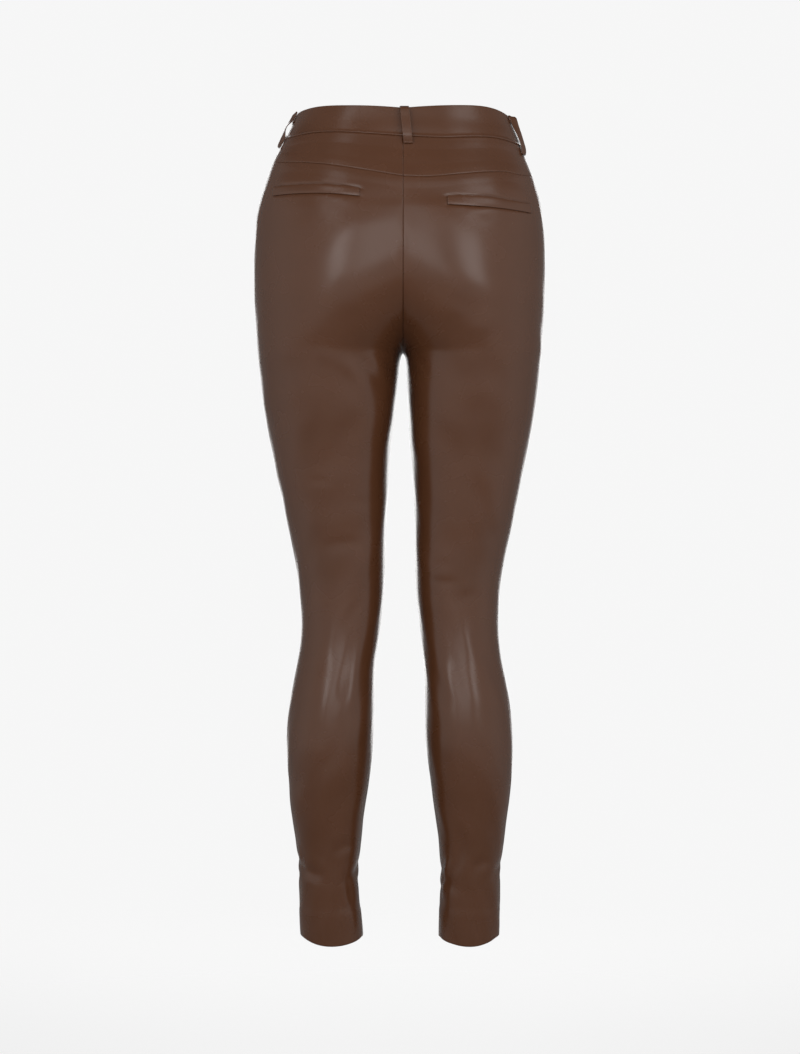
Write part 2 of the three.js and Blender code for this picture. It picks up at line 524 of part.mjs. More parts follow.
// A flat button with a raised rim, lying on the lap of the waistband
function waistButton() {
  const angle = turnWhere((turn) => ringPoint("left", turn, buttonDrop).x > buttonAcross, -100 * rad, -60 * rad);
  const { point, normal } = skin("left", angle, buttonDrop);
  const rightward = new THREE.Vector3(0, 0, 1).cross(normal).normalize();
  const upward = normal.clone().cross(rightward);
  const base = bandProud + bandThickness + lapClearance + buttonClearance;
  const place = (radius, height, turn) => point.clone()
    .addScaledVector(normal, base + height)
    .addScaledVector(rightward, radius * Math.cos(turn))
    .addScaledVector(upward, radius * Math.sin(turn));
  const rings = [
    { radius: buttonRadius, height: 0 },
    { radius: buttonRadius, height: buttonHeight - buttonChamfer },
    { radius: buttonRadius - buttonChamfer, height: buttonHeight },
    { radius: buttonRadius - buttonRimWidth, height: buttonHeight },
    { radius: buttonRadius - buttonRimWidth - buttonChamfer, height: buttonHeight - buttonRimHeight },
  ];
  const points = [...place(0, 0, 0)];
  rings.forEach(({ radius, height }) => {
    for (let k = 0; k < buttonSegments; k += 1) points.push(...place(radius, height, (2 * Math.PI * k) / buttonSegments));
  });
  points.push(...place(0, buttonHeight - buttonRimHeight, 0));
  const at = (ring, k) => 1 + ring * buttonSegments + (k % buttonSegments);
  const last = points.length / 3 - 1;
  const faces = [];
  for (let k = 0; k < buttonSegments; k += 1) {
    faces.push(0, at(0, k + 1), at(0, k));
    faces.push(last, at(rings.length - 1, k), at(rings.length - 1, k + 1));
    for (let ring = 0; ring + 1 < rings.length; ring += 1) {
      faces.push(at(ring, k), at(ring, k + 1), at(ring + 1, k + 1));
      faces.push(at(ring, k), at(ring + 1, k + 1), at(ring + 1, k));
    }
  }
  return solid("waist_button", points, faces, buttonColour, buttonRoughness);
}

const group = new THREE.Group();
group.add(
  legPanel("back_panel_left", "left", "back"),
  legPanel("back_panel_right", "right", "back"),
  legPanel("front_panel_left", "left", "front"),
  legPanel("front_panel_right", "right", "front"),
  yokePanel("back_yoke_left", "left"),
  yokePanel("back_yoke_right", "right"),
  waistband(),
  ...welts.map(pocketWelt),
  ...loops.map(beltLoop),
  waistButton(),
);

export default group;
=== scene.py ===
# %% [markdown]
# Faux leather trousers, seen from behind.
# The real trousers are cut from a smooth coated cloth and sewn from four long panels, two back yokes,
# a waistband, two pocket welts and five belt loops. Here they keep the round shape that they have when
# they are worn, with nobody in them. Every piece is rebuilt finely over the coarse solid of the same
# name, so the solids stay the measure and this script adds the surface.

# %% Load the solids that everything sits on
import math

import bpy
import numpy as np
from mathutils import Matrix, Vector


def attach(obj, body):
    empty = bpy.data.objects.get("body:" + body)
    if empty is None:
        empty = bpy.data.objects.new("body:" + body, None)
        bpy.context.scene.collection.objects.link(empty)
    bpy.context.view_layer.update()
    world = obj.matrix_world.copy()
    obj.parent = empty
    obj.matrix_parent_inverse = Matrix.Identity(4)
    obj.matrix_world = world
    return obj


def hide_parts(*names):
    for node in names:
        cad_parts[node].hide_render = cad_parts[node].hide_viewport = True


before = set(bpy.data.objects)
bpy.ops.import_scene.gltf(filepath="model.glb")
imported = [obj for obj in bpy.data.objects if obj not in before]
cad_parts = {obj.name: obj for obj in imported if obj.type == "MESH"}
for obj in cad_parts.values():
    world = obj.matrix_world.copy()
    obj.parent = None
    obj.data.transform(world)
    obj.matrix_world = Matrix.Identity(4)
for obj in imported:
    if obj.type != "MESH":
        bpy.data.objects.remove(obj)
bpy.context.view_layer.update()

MM = 0.001
print("solids:", ", ".join(sorted(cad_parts)))

# %% [markdown]
# The camera stands straight behind the trousers, level with the thighs. A long lens three metres away
# flattens the form as a catalogue picture does. The lens follows from the picture's height and from its
# focal length, both counted in picture points.

# %% Camera
PICTURE_HEIGHT = 1054
FOCAL_IN_PICTURE_POINTS = 2564
SENSOR_MM = 36
CAMERA_PLACE = (0.0035, 3.0, -0.480)

bpy.ops.object.camera_add(location=CAMERA_PLACE, rotation=(math.radians(90), 0, math.radians(180)))
camera = bpy.context.object
camera.name = "camera_behind"
camera.data.sensor_width = SENSOR_MM
camera.data.lens = SENSOR_MM * FOCAL_IN_PICTURE_POINTS / PICTURE_HEIGHT
camera.data.clip_end = 60
bpy.context.scene.camera = camera
print("lens", round(camera.data.lens, 2), "mm")

# %% [markdown]
# A dark glossy cloth is drawn by what it mirrors. A bright band of the room, from the far floor up to head
# height, gives the thighs their even satin look. Above it and close to the feet the room is dim, so the
# waist, the crotch and the ankles stay deep brown. Behind the trousers it is dimmer still, so the outline
# gets only a thin rim. The camera itself sees a plain pale backdrop.

# %% Room light
BACKDROP_LIGHT = 0.925
DIM_LIGHT = 0.3
BAND_LIGHT = 0.64
BEHIND_SHARE = 0.22

scene = bpy.context.scene
scene.view_settings.view_transform = "Standard"
world = bpy.data.worlds.new("studio")
scene.world = world
world.use_nodes = True
air = world.node_tree
air.nodes.clear()
direction = air.nodes.new("ShaderNodeTexCoord")
apart = air.nodes.new("ShaderNodeSeparateXYZ")
air.links.new(direction.outputs["Generated"], apart.inputs["Vector"])


def soft_step(axis, low, high, before, after):
    """A brightness that changes softly with one part of the direction."""
    step = air.nodes.new("ShaderNodeMapRange")
    step.interpolation_type = "SMOOTHSTEP"
    for socket, value in zip(("From Min", "From Max", "To Min", "To Max"), (low, high, before, after)):
        step.inputs[socket].default_value = value
    air.links.new(apart.outputs[axis], step.inputs["Value"])
    return step.outputs["Result"]


def worked(operation, first, second):
    """One sum or product of two brightnesses."""
    node = air.nodes.new("ShaderNodeMath")
    node.operation = operation
    for socket, value in zip(node.inputs, (first, second)):
        if isinstance(value, float):
            socket.default_value = value
        else:
            air.links.new(value, socket)
    return node.outputs["Value"]


above_floor = soft_step("Z", -0.40, -0.35, 0, BAND_LIGHT)
below_head = soft_step("Z", 0.46, 0.56, 1, 0)
band_of_light = worked("MULTIPLY", above_floor, below_head)
towards_camera = soft_step("Y", -0.85, 0.3, BEHIND_SHARE, 1)
room = worked("MULTIPLY", worked("ADD", band_of_light, DIM_LIGHT), towards_camera)
seen = air.nodes.new("ShaderNodeLightPath")
choice = air.nodes.new("ShaderNodeMix")
choice.inputs["B"].default_value = BACKDROP_LIGHT
glow = air.nodes.new("ShaderNodeBackground")
target = air.nodes.new("ShaderNodeOutputWorld")
air.links.new(room, choice.inputs["A"])
air.links.new(seen.outputs["Is Camera Ray"], choice.inputs["Factor"])
air.links.new(choice.outputs["Result"], glow.inputs["Color"])
air.links.new(glow.outputs["Background"], target.inputs["Surface"])
print("room light set")

# %% [markdown]
# Two tall soft boxes, to the left and the right of the camera, and weaker ones behind and above it give the
# satin patches on the seat and the shine of the calves. Two low strips higher up and further out give the
# small lights along the top of the waistband and under the pockets. One broad box lights the front, which
# the camera doesn't see.

# %% Soft boxes
SOFT_BOXES = [
    {"name": "box_left", "turn": 26, "away": 3.0, "low": -0.1, "high": 1.1, "wide": 0.5, "glow": 4.8},
    {"name": "box_right", "turn": -34, "away": 3.0, "low": -0.1, "high": 1.1, "wide": 0.95, "glow": 3.2},
    {"name": "box_middle", "turn": 2, "away": 3.1, "low": -0.3, "high": 1.2, "wide": 1.2, "glow": 1.8},
    {"name": "box_high", "turn": -2, "away": 3.1, "low": 1.22, "high": 2.0, "wide": 3.2, "glow": 0.6},
    {"name": "strip_left", "turn": 41, "away": 3.0, "low": 1.81, "high": 2.2, "wide": 0.75, "glow": 4.5},
    {"name": "strip_right", "turn": -50, "away": 3.0, "low": 1.6, "high": 2.05, "wide": 1.5, "glow": 3.5},
    {"name": "box_front", "turn": 180, "away": 3.0, "low": -1.1, "high": 1.1, "wide": 2.2, "glow": 2.6},
]
SEAT_LEVEL = -0.22


def soft_box(name, turn, away, low, high, wide, glow):
    """A square lamp that faces the seat of the trousers. Its glow is the brightness of its face."""
    turned = math.radians(turn)
    middle = (low + high) / 2
    raised = math.atan2(middle - SEAT_LEVEL, away)
    place = (away * math.sin(turned), away * math.cos(turned), middle)
    bpy.ops.object.light_add(type="AREA", location=place)
    lamp = bpy.context.object
    lamp.name = name
    lamp.rotation_euler = (math.pi / 2 - raised, 0, math.pi - turned)
    lamp.data.shape = "RECTANGLE"
    lamp.data.size = wide
    lamp.data.size_y = high - low
    lamp.data.energy = glow * math.pi * wide * (high - low)
    lamp.visible_camera = False
    return lamp


for settings in SOFT_BOXES:
    soft_box(**settings)
print(len(SOFT_BOXES), "soft boxes")

# %% [markdown]
# The floor is a pale disc below the hems. Its rim fades out, so it runs into the room with no edge. Only
# the camera sees it. What the cloth mirrors and is lit by is a darker disc in the same place, the shade
# under the trousers.

# %% Floor
FLOOR_LEVEL = -1.25
FLOOR_RADIUS = 2.4
FLOOR_SOLID_RADIUS = 0.9
FLOOR_COLOUR = (0.12, 0.12, 0.12, 1)
FLOOR_GLOW = 0.735
SHADE_RADIUS = 2.2
SHADE_COLOUR = (0.48, 0.48, 0.48, 1)


def floor_paint(name, colour, glow):
    """Pale matt paint."""
    finish = bpy.data.materials.new(name)
    finish.use_nodes = True
    paint = finish.node_tree.nodes["Principled BSDF"]
    paint.inputs["Base Color"].default_value = colour
    paint.inputs["Roughness"].default_value = 0.8
    paint.inputs["Emission Color"].default_value = (1, 1, 1, 1)
    paint.inputs["Emission Strength"].default_value = glow
    return finish


def fade_rim(finish):
    """Lets a disc's paint turn clear towards its rim."""
    tree = finish.node_tree
    clear = tree.nodes.new("ShaderNodeBsdfTransparent")
    mix = tree.nodes.new("ShaderNodeMixShader")
    place = tree.nodes.new("ShaderNodeTexCoord")
    flat = tree.nodes.new("ShaderNodeVectorMath")
    flat.operation = "MULTIPLY"
    flat.inputs[1].default_value = (1, 1, 0)
    reach = tree.nodes.new("ShaderNodeVectorMath")
    reach.operation = "LENGTH"
    rim = tree.nodes.new("ShaderNodeMapRange")
    rim.interpolation_type = "SMOOTHSTEP"
    rim.inputs["From Min"].default_value = FLOOR_SOLID_RADIUS
    rim.inputs["From Max"].default_value = FLOOR_RADIUS * 0.95
    tree.links.new(place.outputs["Object"], flat.inputs[0])
    tree.links.new(flat.outputs["Vector"], reach.inputs[0])
    tree.links.new(reach.outputs["Value"], rim.inputs["Value"])
    tree.links.new(rim.outputs["Result"], mix.inputs["Fac"])
    tree.links.new(tree.nodes["Principled BSDF"].outputs["BSDF"], mix.inputs[1])
    tree.links.new(clear.outputs["BSDF"], mix.inputs[2])
    tree.links.new(mix.outputs["Shader"], tree.nodes["Material Output"].inputs["Surface"])
    return finish


def disc(name, radius, finish, level):
    """A round piece of floor."""
    bpy.ops.mesh.primitive_circle_add(vertices=96, radius=radius, fill_type="NGON", location=(0, 0, level))
    piece = bpy.context.object
    piece.name = name
    piece.data.materials.append(finish)
    return piece


floor_finish = fade_rim(floor_paint("floor_paint", FLOOR_COLOUR, FLOOR_GLOW))
floor = disc("studio_floor", FLOOR_RADIUS, floor_finish, FLOOR_LEVEL)
floor.visible_diffuse = False
floor.visible_glossy = False
floor.visible_shadow = False
shade = disc("floor_shade", SHADE_RADIUS, floor_paint("shade_paint", SHADE_COLOUR, 0.0), FLOOR_LEVEL - 0.01)
shade.visible_camera = False
print("floor at", FLOOR_LEVEL)

# %% [markdown]
# The shape of worn trousers can be told by level sections, as a tailor's tape would take them. Each row
# gives one level below the waist, in millimetres: how far the left and right sides reach from the middle
# plane, how far the back and the front stand out, and how square the section is. Above the crotch, share
# says how far the ring of one leg would run past the middle plane. They are the sections of the solids.

# %% Sections of the trunk and of the legs
TRUNK_COLUMNS = ("drop", "left_out", "right_out", "share", "back", "front", "middle", "round")
TRUNK = [
    (-8, 122, 123, 1, 84, 90, -3, 2.15),
    (0, 124.5, 125, 1, 86, 92, -3, 2.15),
    (15, 131, 130, 0.99, 89, 95, -2, 2.15),
    (27, 137, 134.8, 0.98, 92, 97, -1, 2.15),
    (39, 143.5, 139, 0.97, 95, 100, 0, 2.15),
    (51, 150, 143.2, 0.96, 99, 102, 0, 2.15),
    (62, 154.4, 147.4, 0.957, 103, 104, 1, 2.15),
    (74, 158.5, 152, 0.95, 107, 106, 2, 2.15),
    (86, 162.5, 155.6, 0.94, 111, 107, 3, 2.15),
    (97, 166, 159, 0.93, 114, 108, 3, 2.15),
    (109, 168.8, 161.3, 0.91, 117, 108, 4, 2.15),
    (121, 170.8, 162.8, 0.88, 120, 108, 4, 2.15),
    (144, 172.4, 164.6, 0.8, 124, 107, 5, 2.15),
    (170, 173.2, 165, 0.69, 126, 106, 6, 2.15),
    (195, 173.2, 165, 0.55, 125, 103, 6, 2.15),
    (215, 172.9, 164.8, 0.415, 122, 101, 6, 2.15),
    (235, 171.8, 163.7, 0.27, 117, 98, 5, 2.12),
    (255, 170.6, 162.4, 0.12, 111, 95, 4, 2.1),
]
LEG_COLUMNS = ("drop", "left_out", "left_in", "right_out", "right_in", "back", "front", "middle", "round")
LEGS = [
    (276.4, 169.3, 0.15, 161.3, 0.15, 104, 91, 3, 2.1),
    (285, 168.5, 3.4, 159.8, 3.3, 102, 90, 3, 2.1),
    (308, 166, 6.2, 157.8, 4.7, 97, 88, 1, 2.08),
    (331, 163.6, 8.4, 155.5, 6, 93, 86, 0, 2.06),
    (355, 159.5, 10.8, 151.8, 7.1, 88, 84, -1, 2.04),
    (378, 155.5, 14, 147.3, 8.2, 83, 82, -2, 2),
    (402, 150.8, 16.3, 142.7, 10.4, 78, 81, -3, 2),
    (425, 146.2, 17.6, 138, 12, 74, 79, -4, 2),
    (448, 140.6, 18.7, 133.4, 13, 70, 77, -5, 2),
    (472, 135.7, 19.9, 128.7, 14, 66, 75, -6, 2),
    (495, 131, 21, 123.6, 14.2, 62, 73, -7, 2),
    (519, 126.4, 21.4, 118.2, 14.4, 59, 71, -8, 2),
    (542, 122.6, 22.2, 114.6, 15.2, 56, 69, -8, 2),
    (565, 120, 23.4, 112.4, 16.6, 54, 67, -8, 2),
    (589, 118.4, 25.8, 111.4, 19.4, 53, 65, -7, 2),
    (612, 119.4, 29, 112.2, 22.2, 54, 62, -5, 2),
    (636, 122.8, 32.4, 114.8, 24.6, 57, 59, -3, 2),
    (659, 127.4, 34, 119.4, 25.7, 62, 56, 0, 2),
    (682, 131.2, 34, 124, 26, 66, 53, 2, 2),
    (706, 134.4, 34.2, 126.6, 26.2, 68, 50, 4, 2),
    (729, 135.6, 35.2, 127.6, 27, 68, 48, 5, 2),
    (753, 134.6, 37, 127.2, 29.4, 66, 46, 5, 2),
    (776, 132.8, 39.8, 126, 32.6, 63, 44.5, 5, 2),
    (799, 131.6, 43.4, 123.8, 35.4, 59, 43, 5, 2),
    (823, 128.6, 46.9, 120.4, 38.8, 55, 42, 4, 2),
    (846, 125, 49.2, 117.8, 42, 51, 41, 4, 2),
    (870, 122.6, 51.4, 114.6, 43.4, 48, 40, 4, 2),
    (893, 121.6, 52.4, 113.4, 43.6, 45.8, 39.5, 4, 2),
    (916, 120.6, 51.2, 113.2, 43.2, 43.4, 39.5, 3, 2),
    (931, 120.5, 49.2, 112.4, 42.6, 42, 40, 3, 2),
    (945, 120, 48, 112.2, 42.2, 40.8, 40.5, 3, 2),
    (970, 118.4, 46.8, 111.2, 42, 39, 41, 3, 2),
]
SEAM_COLUMNS = ("drop", "left_side", "right_side", "inseam")
SEAM_ANGLES = [
    (-8, 15, 13, 180),
    (57, 18, 15, 180),
    (100, 19, 17, 180),
    (144, 15, 8, 180),
    (175, 11, 4, 180),
    (215, 6, 1, 180),
    (300, 0, 0, 180),
    (600, 0, 0, 180),
    (900, 0, 0, 177),
    (970, 0, 0, 175),
]


def named_rows(columns, rows):
    """A table as one dictionary for each row."""
    return [dict(zip(columns, row)) for row in rows]


print(len(TRUNK) + len(LEGS), "sections")

# %% [markdown]
# Between two sections the cloth runs smoothly. A cubic curve through the values does this, with its slope
# at each value taken from the two neighbours. It is written for whole arrays, so that a panel of many
# thousand points is worked out in one go.

# %% Smooth reading of a table


def curve(rows, column, key="drop"):
    """A smooth curve through one column of a table."""
    at = np.array([row[key] for row in rows], float)
    values = np.array([row[column] for row in rows], float)
    before = np.maximum(np.arange(len(at)) - 1, 0)
    after = np.minimum(np.arange(len(at)) + 1, len(at) - 1)
    slopes = (values[after] - values[before]) / (at[after] - at[before])

    def value(x):
        x = np.clip(x, at[0], at[-1])
        i = np.clip(np.searchsorted(at, x, side="right") - 1, 0, len(at) - 2)
        width = at[i + 1] - at[i]
        t = (x - at[i]) / width
        rise = t * t * (3 - 2 * t)
        lead = t * (1 - t) ** 2 * width
        tail = t * t * (t - 1) * width
        return values[i] * (1 - rise) + values[i + 1] * rise + slopes[i] * lead + slopes[i + 1] * tail

    return value


def fade_out(x):
    """Falls softly from one to nothing as x goes from 0 to 1."""
    t = np.clip(x, 0, 1)
    return 1 - t * t * (3 - 2 * t)


levels = named_rows(TRUNK_COLUMNS, TRUNK)
for row in levels:
    row["left_in"] = -row["share"] * row["left_out"]
    row["right_in"] = -row["share"] * row["right_out"]
levels += named_rows(LEG_COLUMNS, LEGS)
seam_rows = named_rows(SEAM_COLUMNS, SEAM_ANGLES)
OUT = {side: curve(levels, side + "_out") for side in ("left", "right")}
INNER = {side: curve(levels, side + "_in") for side in ("left", "right")}
SIDE_SEAM = {side: curve(seam_rows, side + "_side") for side in ("left", "right")}
INSEAM = curve(seam_rows, "inseam")
BACK, FRONT = curve(levels, "back"), curve(levels, "front")
MIDDLE, ROUND = curve(levels, "middle"), curve(levels, "round")
print("hips at 170 mm:", round(float(OUT["left"](170) + OUT["right"](170)), 1), "mm wide")

# %% [markdown]
# The cloth gathers a little above the hems, where it is too long for the straight leg. These folds are
# part of the outline, so the solids have them too. Each is a soft trough round part of the ankle.

# %% The folds of the ankles
FOLD_COLUMNS = ("side", "drop", "angle", "deep", "high", "wide", "lean")
ANKLE_FOLDS = named_rows(FOLD_COLUMNS, [
    ("left", 872, 20, 2.2, 7, 42, 10),
    ("left", 889, -12, 1.6, 6, 34, -8),
    ("left", 876, 164, 2, 7, 36, -9),
    ("left", 894, 190, 1.2, 5, 28, 6),
    ("right", 884, 166, 2.4, 8, 40, -10),
    ("right", 902, 188, 1.4, 5, 30, 8),
    ("right", 874, 14, 1.3, 7, 30, 7),
    ("right", 893, -24, 1.5, 6, 38, -10),
    ("left", 868, -88, 1.6, 8, 40, 4),
    ("right", 866, -92, 1.7, 8, 40, -4),
])


def degrees_apart(angle, other):
    """The shorter way round from one angle to another, in degrees."""
    return (np.degrees(angle) - other + 540) % 360 - 180


def fold_depth(side, angle, drop):
    """How far the ankle folds draw the cloth in, in millimetres."""
    total = np.zeros(np.broadcast(angle, drop).shape)
    for fold in ANKLE_FOLDS:
        if fold["side"] == side:
            away = degrees_apart(angle, fold["angle"])
            level = (drop - fold["drop"] - fold["lean"] * away / fold["wide"]) / fold["high"]
            total = total + fold["deep"] * np.exp(-level**2 - (away / fold["wide"]) ** 2)
    return total


print(len(ANKLE_FOLDS), "ankle folds")

# %% [markdown]
# A point of the cloth is found from an angle round the leg and a level. Angle 0 is the outer side, 90 the
# back, 180 the inner side and -90 the front. The right leg is worked out as a left one and mirrored last.
# Below the crotch the inner half of a leg is fuller than the outer half, because the thighs press on it.

# %% Points and directions of the cloth
INNER_FULLNESS = 0.55
FULL_FROM = 262
FULL_OVER = 90


def ring_point(side, angle, drop):
    """Points of the outer cloth, in millimetres, x measured outwards from the middle plane."""
    angle, drop = np.broadcast_arrays(np.asarray(angle, float), np.asarray(drop, float))
    out, inner, middle, power = OUT[side](drop), INNER[side](drop), MIDDLE(drop), ROUND(drop)
    half = (out - inner) / 2
    across, along = np.cos(angle), np.sin(angle)
    power = power + INNER_FULLNESS * (across < 0) * (1 - fade_out((drop - FULL_FROM) / FULL_OVER))
    depth = np.where(along > 0, BACK(drop) - middle, FRONT(drop) + middle)
    reach = (np.abs(across) ** power + np.abs(along) ** power) ** (-1 / power)
    reach = reach * (1 - fold_depth(side, angle, drop) / half)
    x = (out + inner) / 2 + half * reach * across
    return np.stack([x, middle + depth * reach * along, -drop], axis=-1)


TURN = math.radians(0.4)
RISE = 0.8


def length(vectors):
    return np.linalg.norm(vectors, axis=-1)


def skin_normal(side, angle, drop):
    """The outward direction of the cloth."""
    angle, drop = np.broadcast_arrays(np.asarray(angle, float), np.asarray(drop, float))
    turned = ring_point(side, angle + TURN, drop) - ring_point(side, angle - TURN, drop)
    down = ring_point(side, angle, drop + RISE) - ring_point(side, angle, drop - RISE)
    normal = np.cross(down, turned)
    return normal / length(normal)[..., None]


print("seat point:", ring_point("left", math.radians(90), 170).round(1))

# %% [markdown]
# A panel is bounded by seams. The side seam runs at its own angle, and the inner edge is the middle seam
# above the crotch and the inseam below it. The solids keep a hair of space there, and the sewn pieces meet.

# %% Where the seams run
FACING = {"back": 1, "front": -1}


def turn_where(test, low, high):
    """The angle at which a test turns true, found by halving, for whole arrays."""
    low, high = np.broadcast_arrays(np.asarray(low, float), np.asarray(high, float))
    for _ in range(34):
        middle = (low + high) / 2
        hit = test(middle)
        low, high = np.where(hit, low, middle), np.where(hit, middle, high)
    return (low + high) / 2


def side_angle(side, drop):
    """Where a panel starts, at the side seam."""
    return np.radians(SIDE_SEAM[side](drop))


def inner_angle(side, face, drop):
    """Where a panel ends, at the middle seam or at the inseam."""
    drop = np.asarray(drop, float)
    last = np.radians(INSEAM(drop) if face == "back" else INSEAM(drop) - 360)

    def past_middle(angle):
        return ring_point(side, angle, drop)[..., 0] < 0

    start = np.full(drop.shape, FACING[face] * math.radians(80))
    cut = turn_where(past_middle, start, last)
    return np.where(past_middle(last), cut, last)


def column_angle(side, face, column, drop):
    """The angle of a column, 0 at the side seam and 1 at the inner edge."""
    start = side_angle(side, drop)
    return start + (inner_angle(side, face, drop) - start) * column


print("side seam at the waist:", np.degrees(side_angle("left", 0)).round(1), "degrees round")

# %% [markdown]
# The edges that run across, such as the foot of the waistband and the yoke seam, are drawn on the back by
# their distance from the middle. At the front they run softly from the side seam to one level in the
# middle.

# %% Edges that run across
EDGES = {
    "band_top": {
        "left": [(0, 3.2), (30, 0.7), (60, -1.2), (97, -3.2), (124, -1.9)],
        "right": [(0, 3.2), (30, 0.7), (60, -1.4), (90, -2.9), (108, -1.4), (124, 2.8)],
        "front_middle": 7,
    },
    "band_low": {
        "left": [(0, 37), (29, 34.6), (56, 32), (75, 30.2), (107, 29), (137, 31)],
        "right": [(0, 37), (46, 38.3), (85, 35.4), (105, 34.6), (125, 36.6), (138, 39)],
        "front_middle": 40,
    },
    "yoke_low": {
        "left": [(0, 84.4), (29, 79), (54, 74.4), (86, 68.4), (127, 62), (152, 57.6)],
        "right": [(0, 84.4), (33, 84.4), (70, 80), (117, 74.6), (135, 75.6), (150, 74)],
    },
}
EDGE_COLUMNS = ("across", "drop")


def edge_level(edge, side, face, column):
    """The level of an edge at a column of a panel."""
    column = np.asarray(column, float)
    rows = named_rows(EDGE_COLUMNS, EDGES[edge][side])
    level = curve(rows, "drop", "across")
    back_column = column if face == "back" else np.zeros_like(column)
    drop = np.full(column.shape, float(rows[0]["drop"]))
    for _ in range(8):
        drop = level(ring_point(side, column_angle(side, "back", back_column, drop), drop)[..., 0])
    if face == "back":
        return drop
    middle = EDGES[edge]["front_middle"]
    return middle + (drop - middle) * fade_out(column)


print("foot of the band at the left side:", edge_level("band_low", "left", "back", 0.0).round(1))

# %% [markdown]
# Worn faux leather is never quite even. Soft creases pull from the crotch over the thighs, run down the
# calves and break above the hems. They are listed one by one, each as a line from one point of the leg to
# another, given by angle and level. Deep is how far it is pressed in, and below nothing it is a ridge.
# The left and right legs, the back and the front all have their own.

# %% Creases
CREASE_COLUMNS = ("side", "angle", "drop", "to_angle", "to_drop", "bow", "deep", "wide")
CREASES = named_rows(CREASE_COLUMNS, [
    # Left thigh, from behind
    ("left", 98, 284, 126, 342, 5, -0.9, 6),
    ("left", 108, 280, 138, 326, 5, 1.0, 7),
    ("left", 121, 281, 146, 322, 3, -0.8, 5),
    ("left", 133, 279, 156, 306, 2, 0.8, 5),
    ("left", 82, 276, 96, 300, 2, -0.35, 6),
    ("left", 88, 222, 105, 264, 5, -0.45, 7),
    ("left", 103, 240, 124, 268, 3, 0.4, 7),
    ("left", 64, 428, 90, 430, 2, 0.35, 4),
    ("left", 105, 452, 150, 446, -3, 0.4, 6),
    ("left", 70, 506, 128, 500, 4, 0.45, 6),
    ("left", 106, 562, 91, 594, -2, -0.5, 4),
    ("left", 118, 560, 101, 596, -2, 0.45, 4),
    ("left", 60, 113, 74, 112, 1, -0.45, 5),
    # Left calf
    ("left", 101, 598, 89, 688, 2, -0.42, 5.6),
    ("left", 111, 602, 101, 690, 2, 0.45, 5.6),
    ("left", 122, 600, 113, 692, 2, -0.42, 5.8),
    ("left", 133, 598, 125, 670, 2, 0.35, 5.6),
    ("left", 60, 700, 84, 742, 6, 0.3, 7),
    ("left", 126, 882, 136, 920, 2, 1.5, 5),
    ("left", 96, 858, 150, 846, 5, 0.9, 6),
    ("left", 28, 846, 10, 880, 3, -1.1, 4),
    ("left", 44, 868, 88, 882, -4, 0.85, 6),
    # Right thigh, from behind
    ("right", 148, 278, 130, 298, 2, 0.8, 4.5),
    ("right", 154, 290, 138, 312, 2, 0.6, 4.5),
    ("right", 139, 281, 120, 306, 2, -0.5, 5),
    ("right", 70, 230, 84, 262, -5, -0.45, 7),
    ("right", 88, 238, 108, 270, 4, 0.4, 8),
    ("right", 76, 330, 74, 420, 2, -0.45, 10),
    ("right", 92, 338, 88, 430, 2, 0.35, 10),
    ("right", 96, 524, 134, 526, 3, 0.35, 5),
    ("right", 90, 542, 134, 540, -3, 0.5, 4.5),
    ("right", 60, 556, 100, 572, 3, 0.35, 6),
    ("right", 55, 127, 69, 126, 1, -0.45, 5),
    # Right calf
    ("right", 118, 634, 106, 684, 2, -0.3, 6),
    ("right", 105, 620, 96, 690, 2, 0.25, 6.5),
    ("right", 84, 590, 80, 712, 2, -0.38, 9),
    ("right", 129, 640, 121, 700, 2, 0.3, 6),
    ("right", 112, 818, 119, 884, -3, 1.6, 6),
    ("right", 126, 862, 150, 914, 5, -1.4, 4),
    ("right", 138, 858, 158, 898, 4, 1.3, 4),
    ("right", 50, 864, 86, 876, 4, 0.8, 6),
    # Front, from the crotch out to the thighs
    ("left", -158, 268, -112, 238, 6, 0.9, 6),
    ("left", -150, 282, -100, 262, 5, -0.5, 6),
    ("left", -160, 292, -118, 286, 4, 0.7, 6),
    ("right", -156, 266, -108, 232, 6, 0.85, 6.5),
    ("right", -150, 284, -96, 268, 5, -0.5, 6),
    ("right", -160, 296, -122, 292, 4, 0.6, 6),
    ("left", -120, 226, -36, 176, 10, 0.8, 11),
    ("right", -118, 222, -34, 180, 9, 0.75, 11),
    # Front of the knees
    ("left", -140, 470, -70, 462, -7, 0.55, 8),
    ("left", -118, 498, -44, 504, 6, 0.6, 7),
    ("left", -136, 532, -64, 526, 7, 0.5, 7),
    ("right", -142, 476, -66, 470, -8, 0.5, 8),
    ("right", -122, 508, -50, 500, 5, 0.6, 7),
    ("right", -138, 540, -72, 538, 7, 0.5, 7),
    # Shins and ankles
    ("left", -96, 640, -82, 760, 3, 0.3, 9),
    ("right", -86, 630, -98, 742, 3, 0.3, 9),
    ("left", -130, 846, -60, 852, 6, 0.7, 6),
    ("left", -112, 884, -40, 890, -5, 0.6, 5.5),
    ("right", -136, 850, -70, 844, 6, 0.65, 6),
    ("right", -120, 888, -46, 882, -5, 0.6, 5.5),
])
SHOULDER = 0.3
SHOULDER_PLACE = 2.0


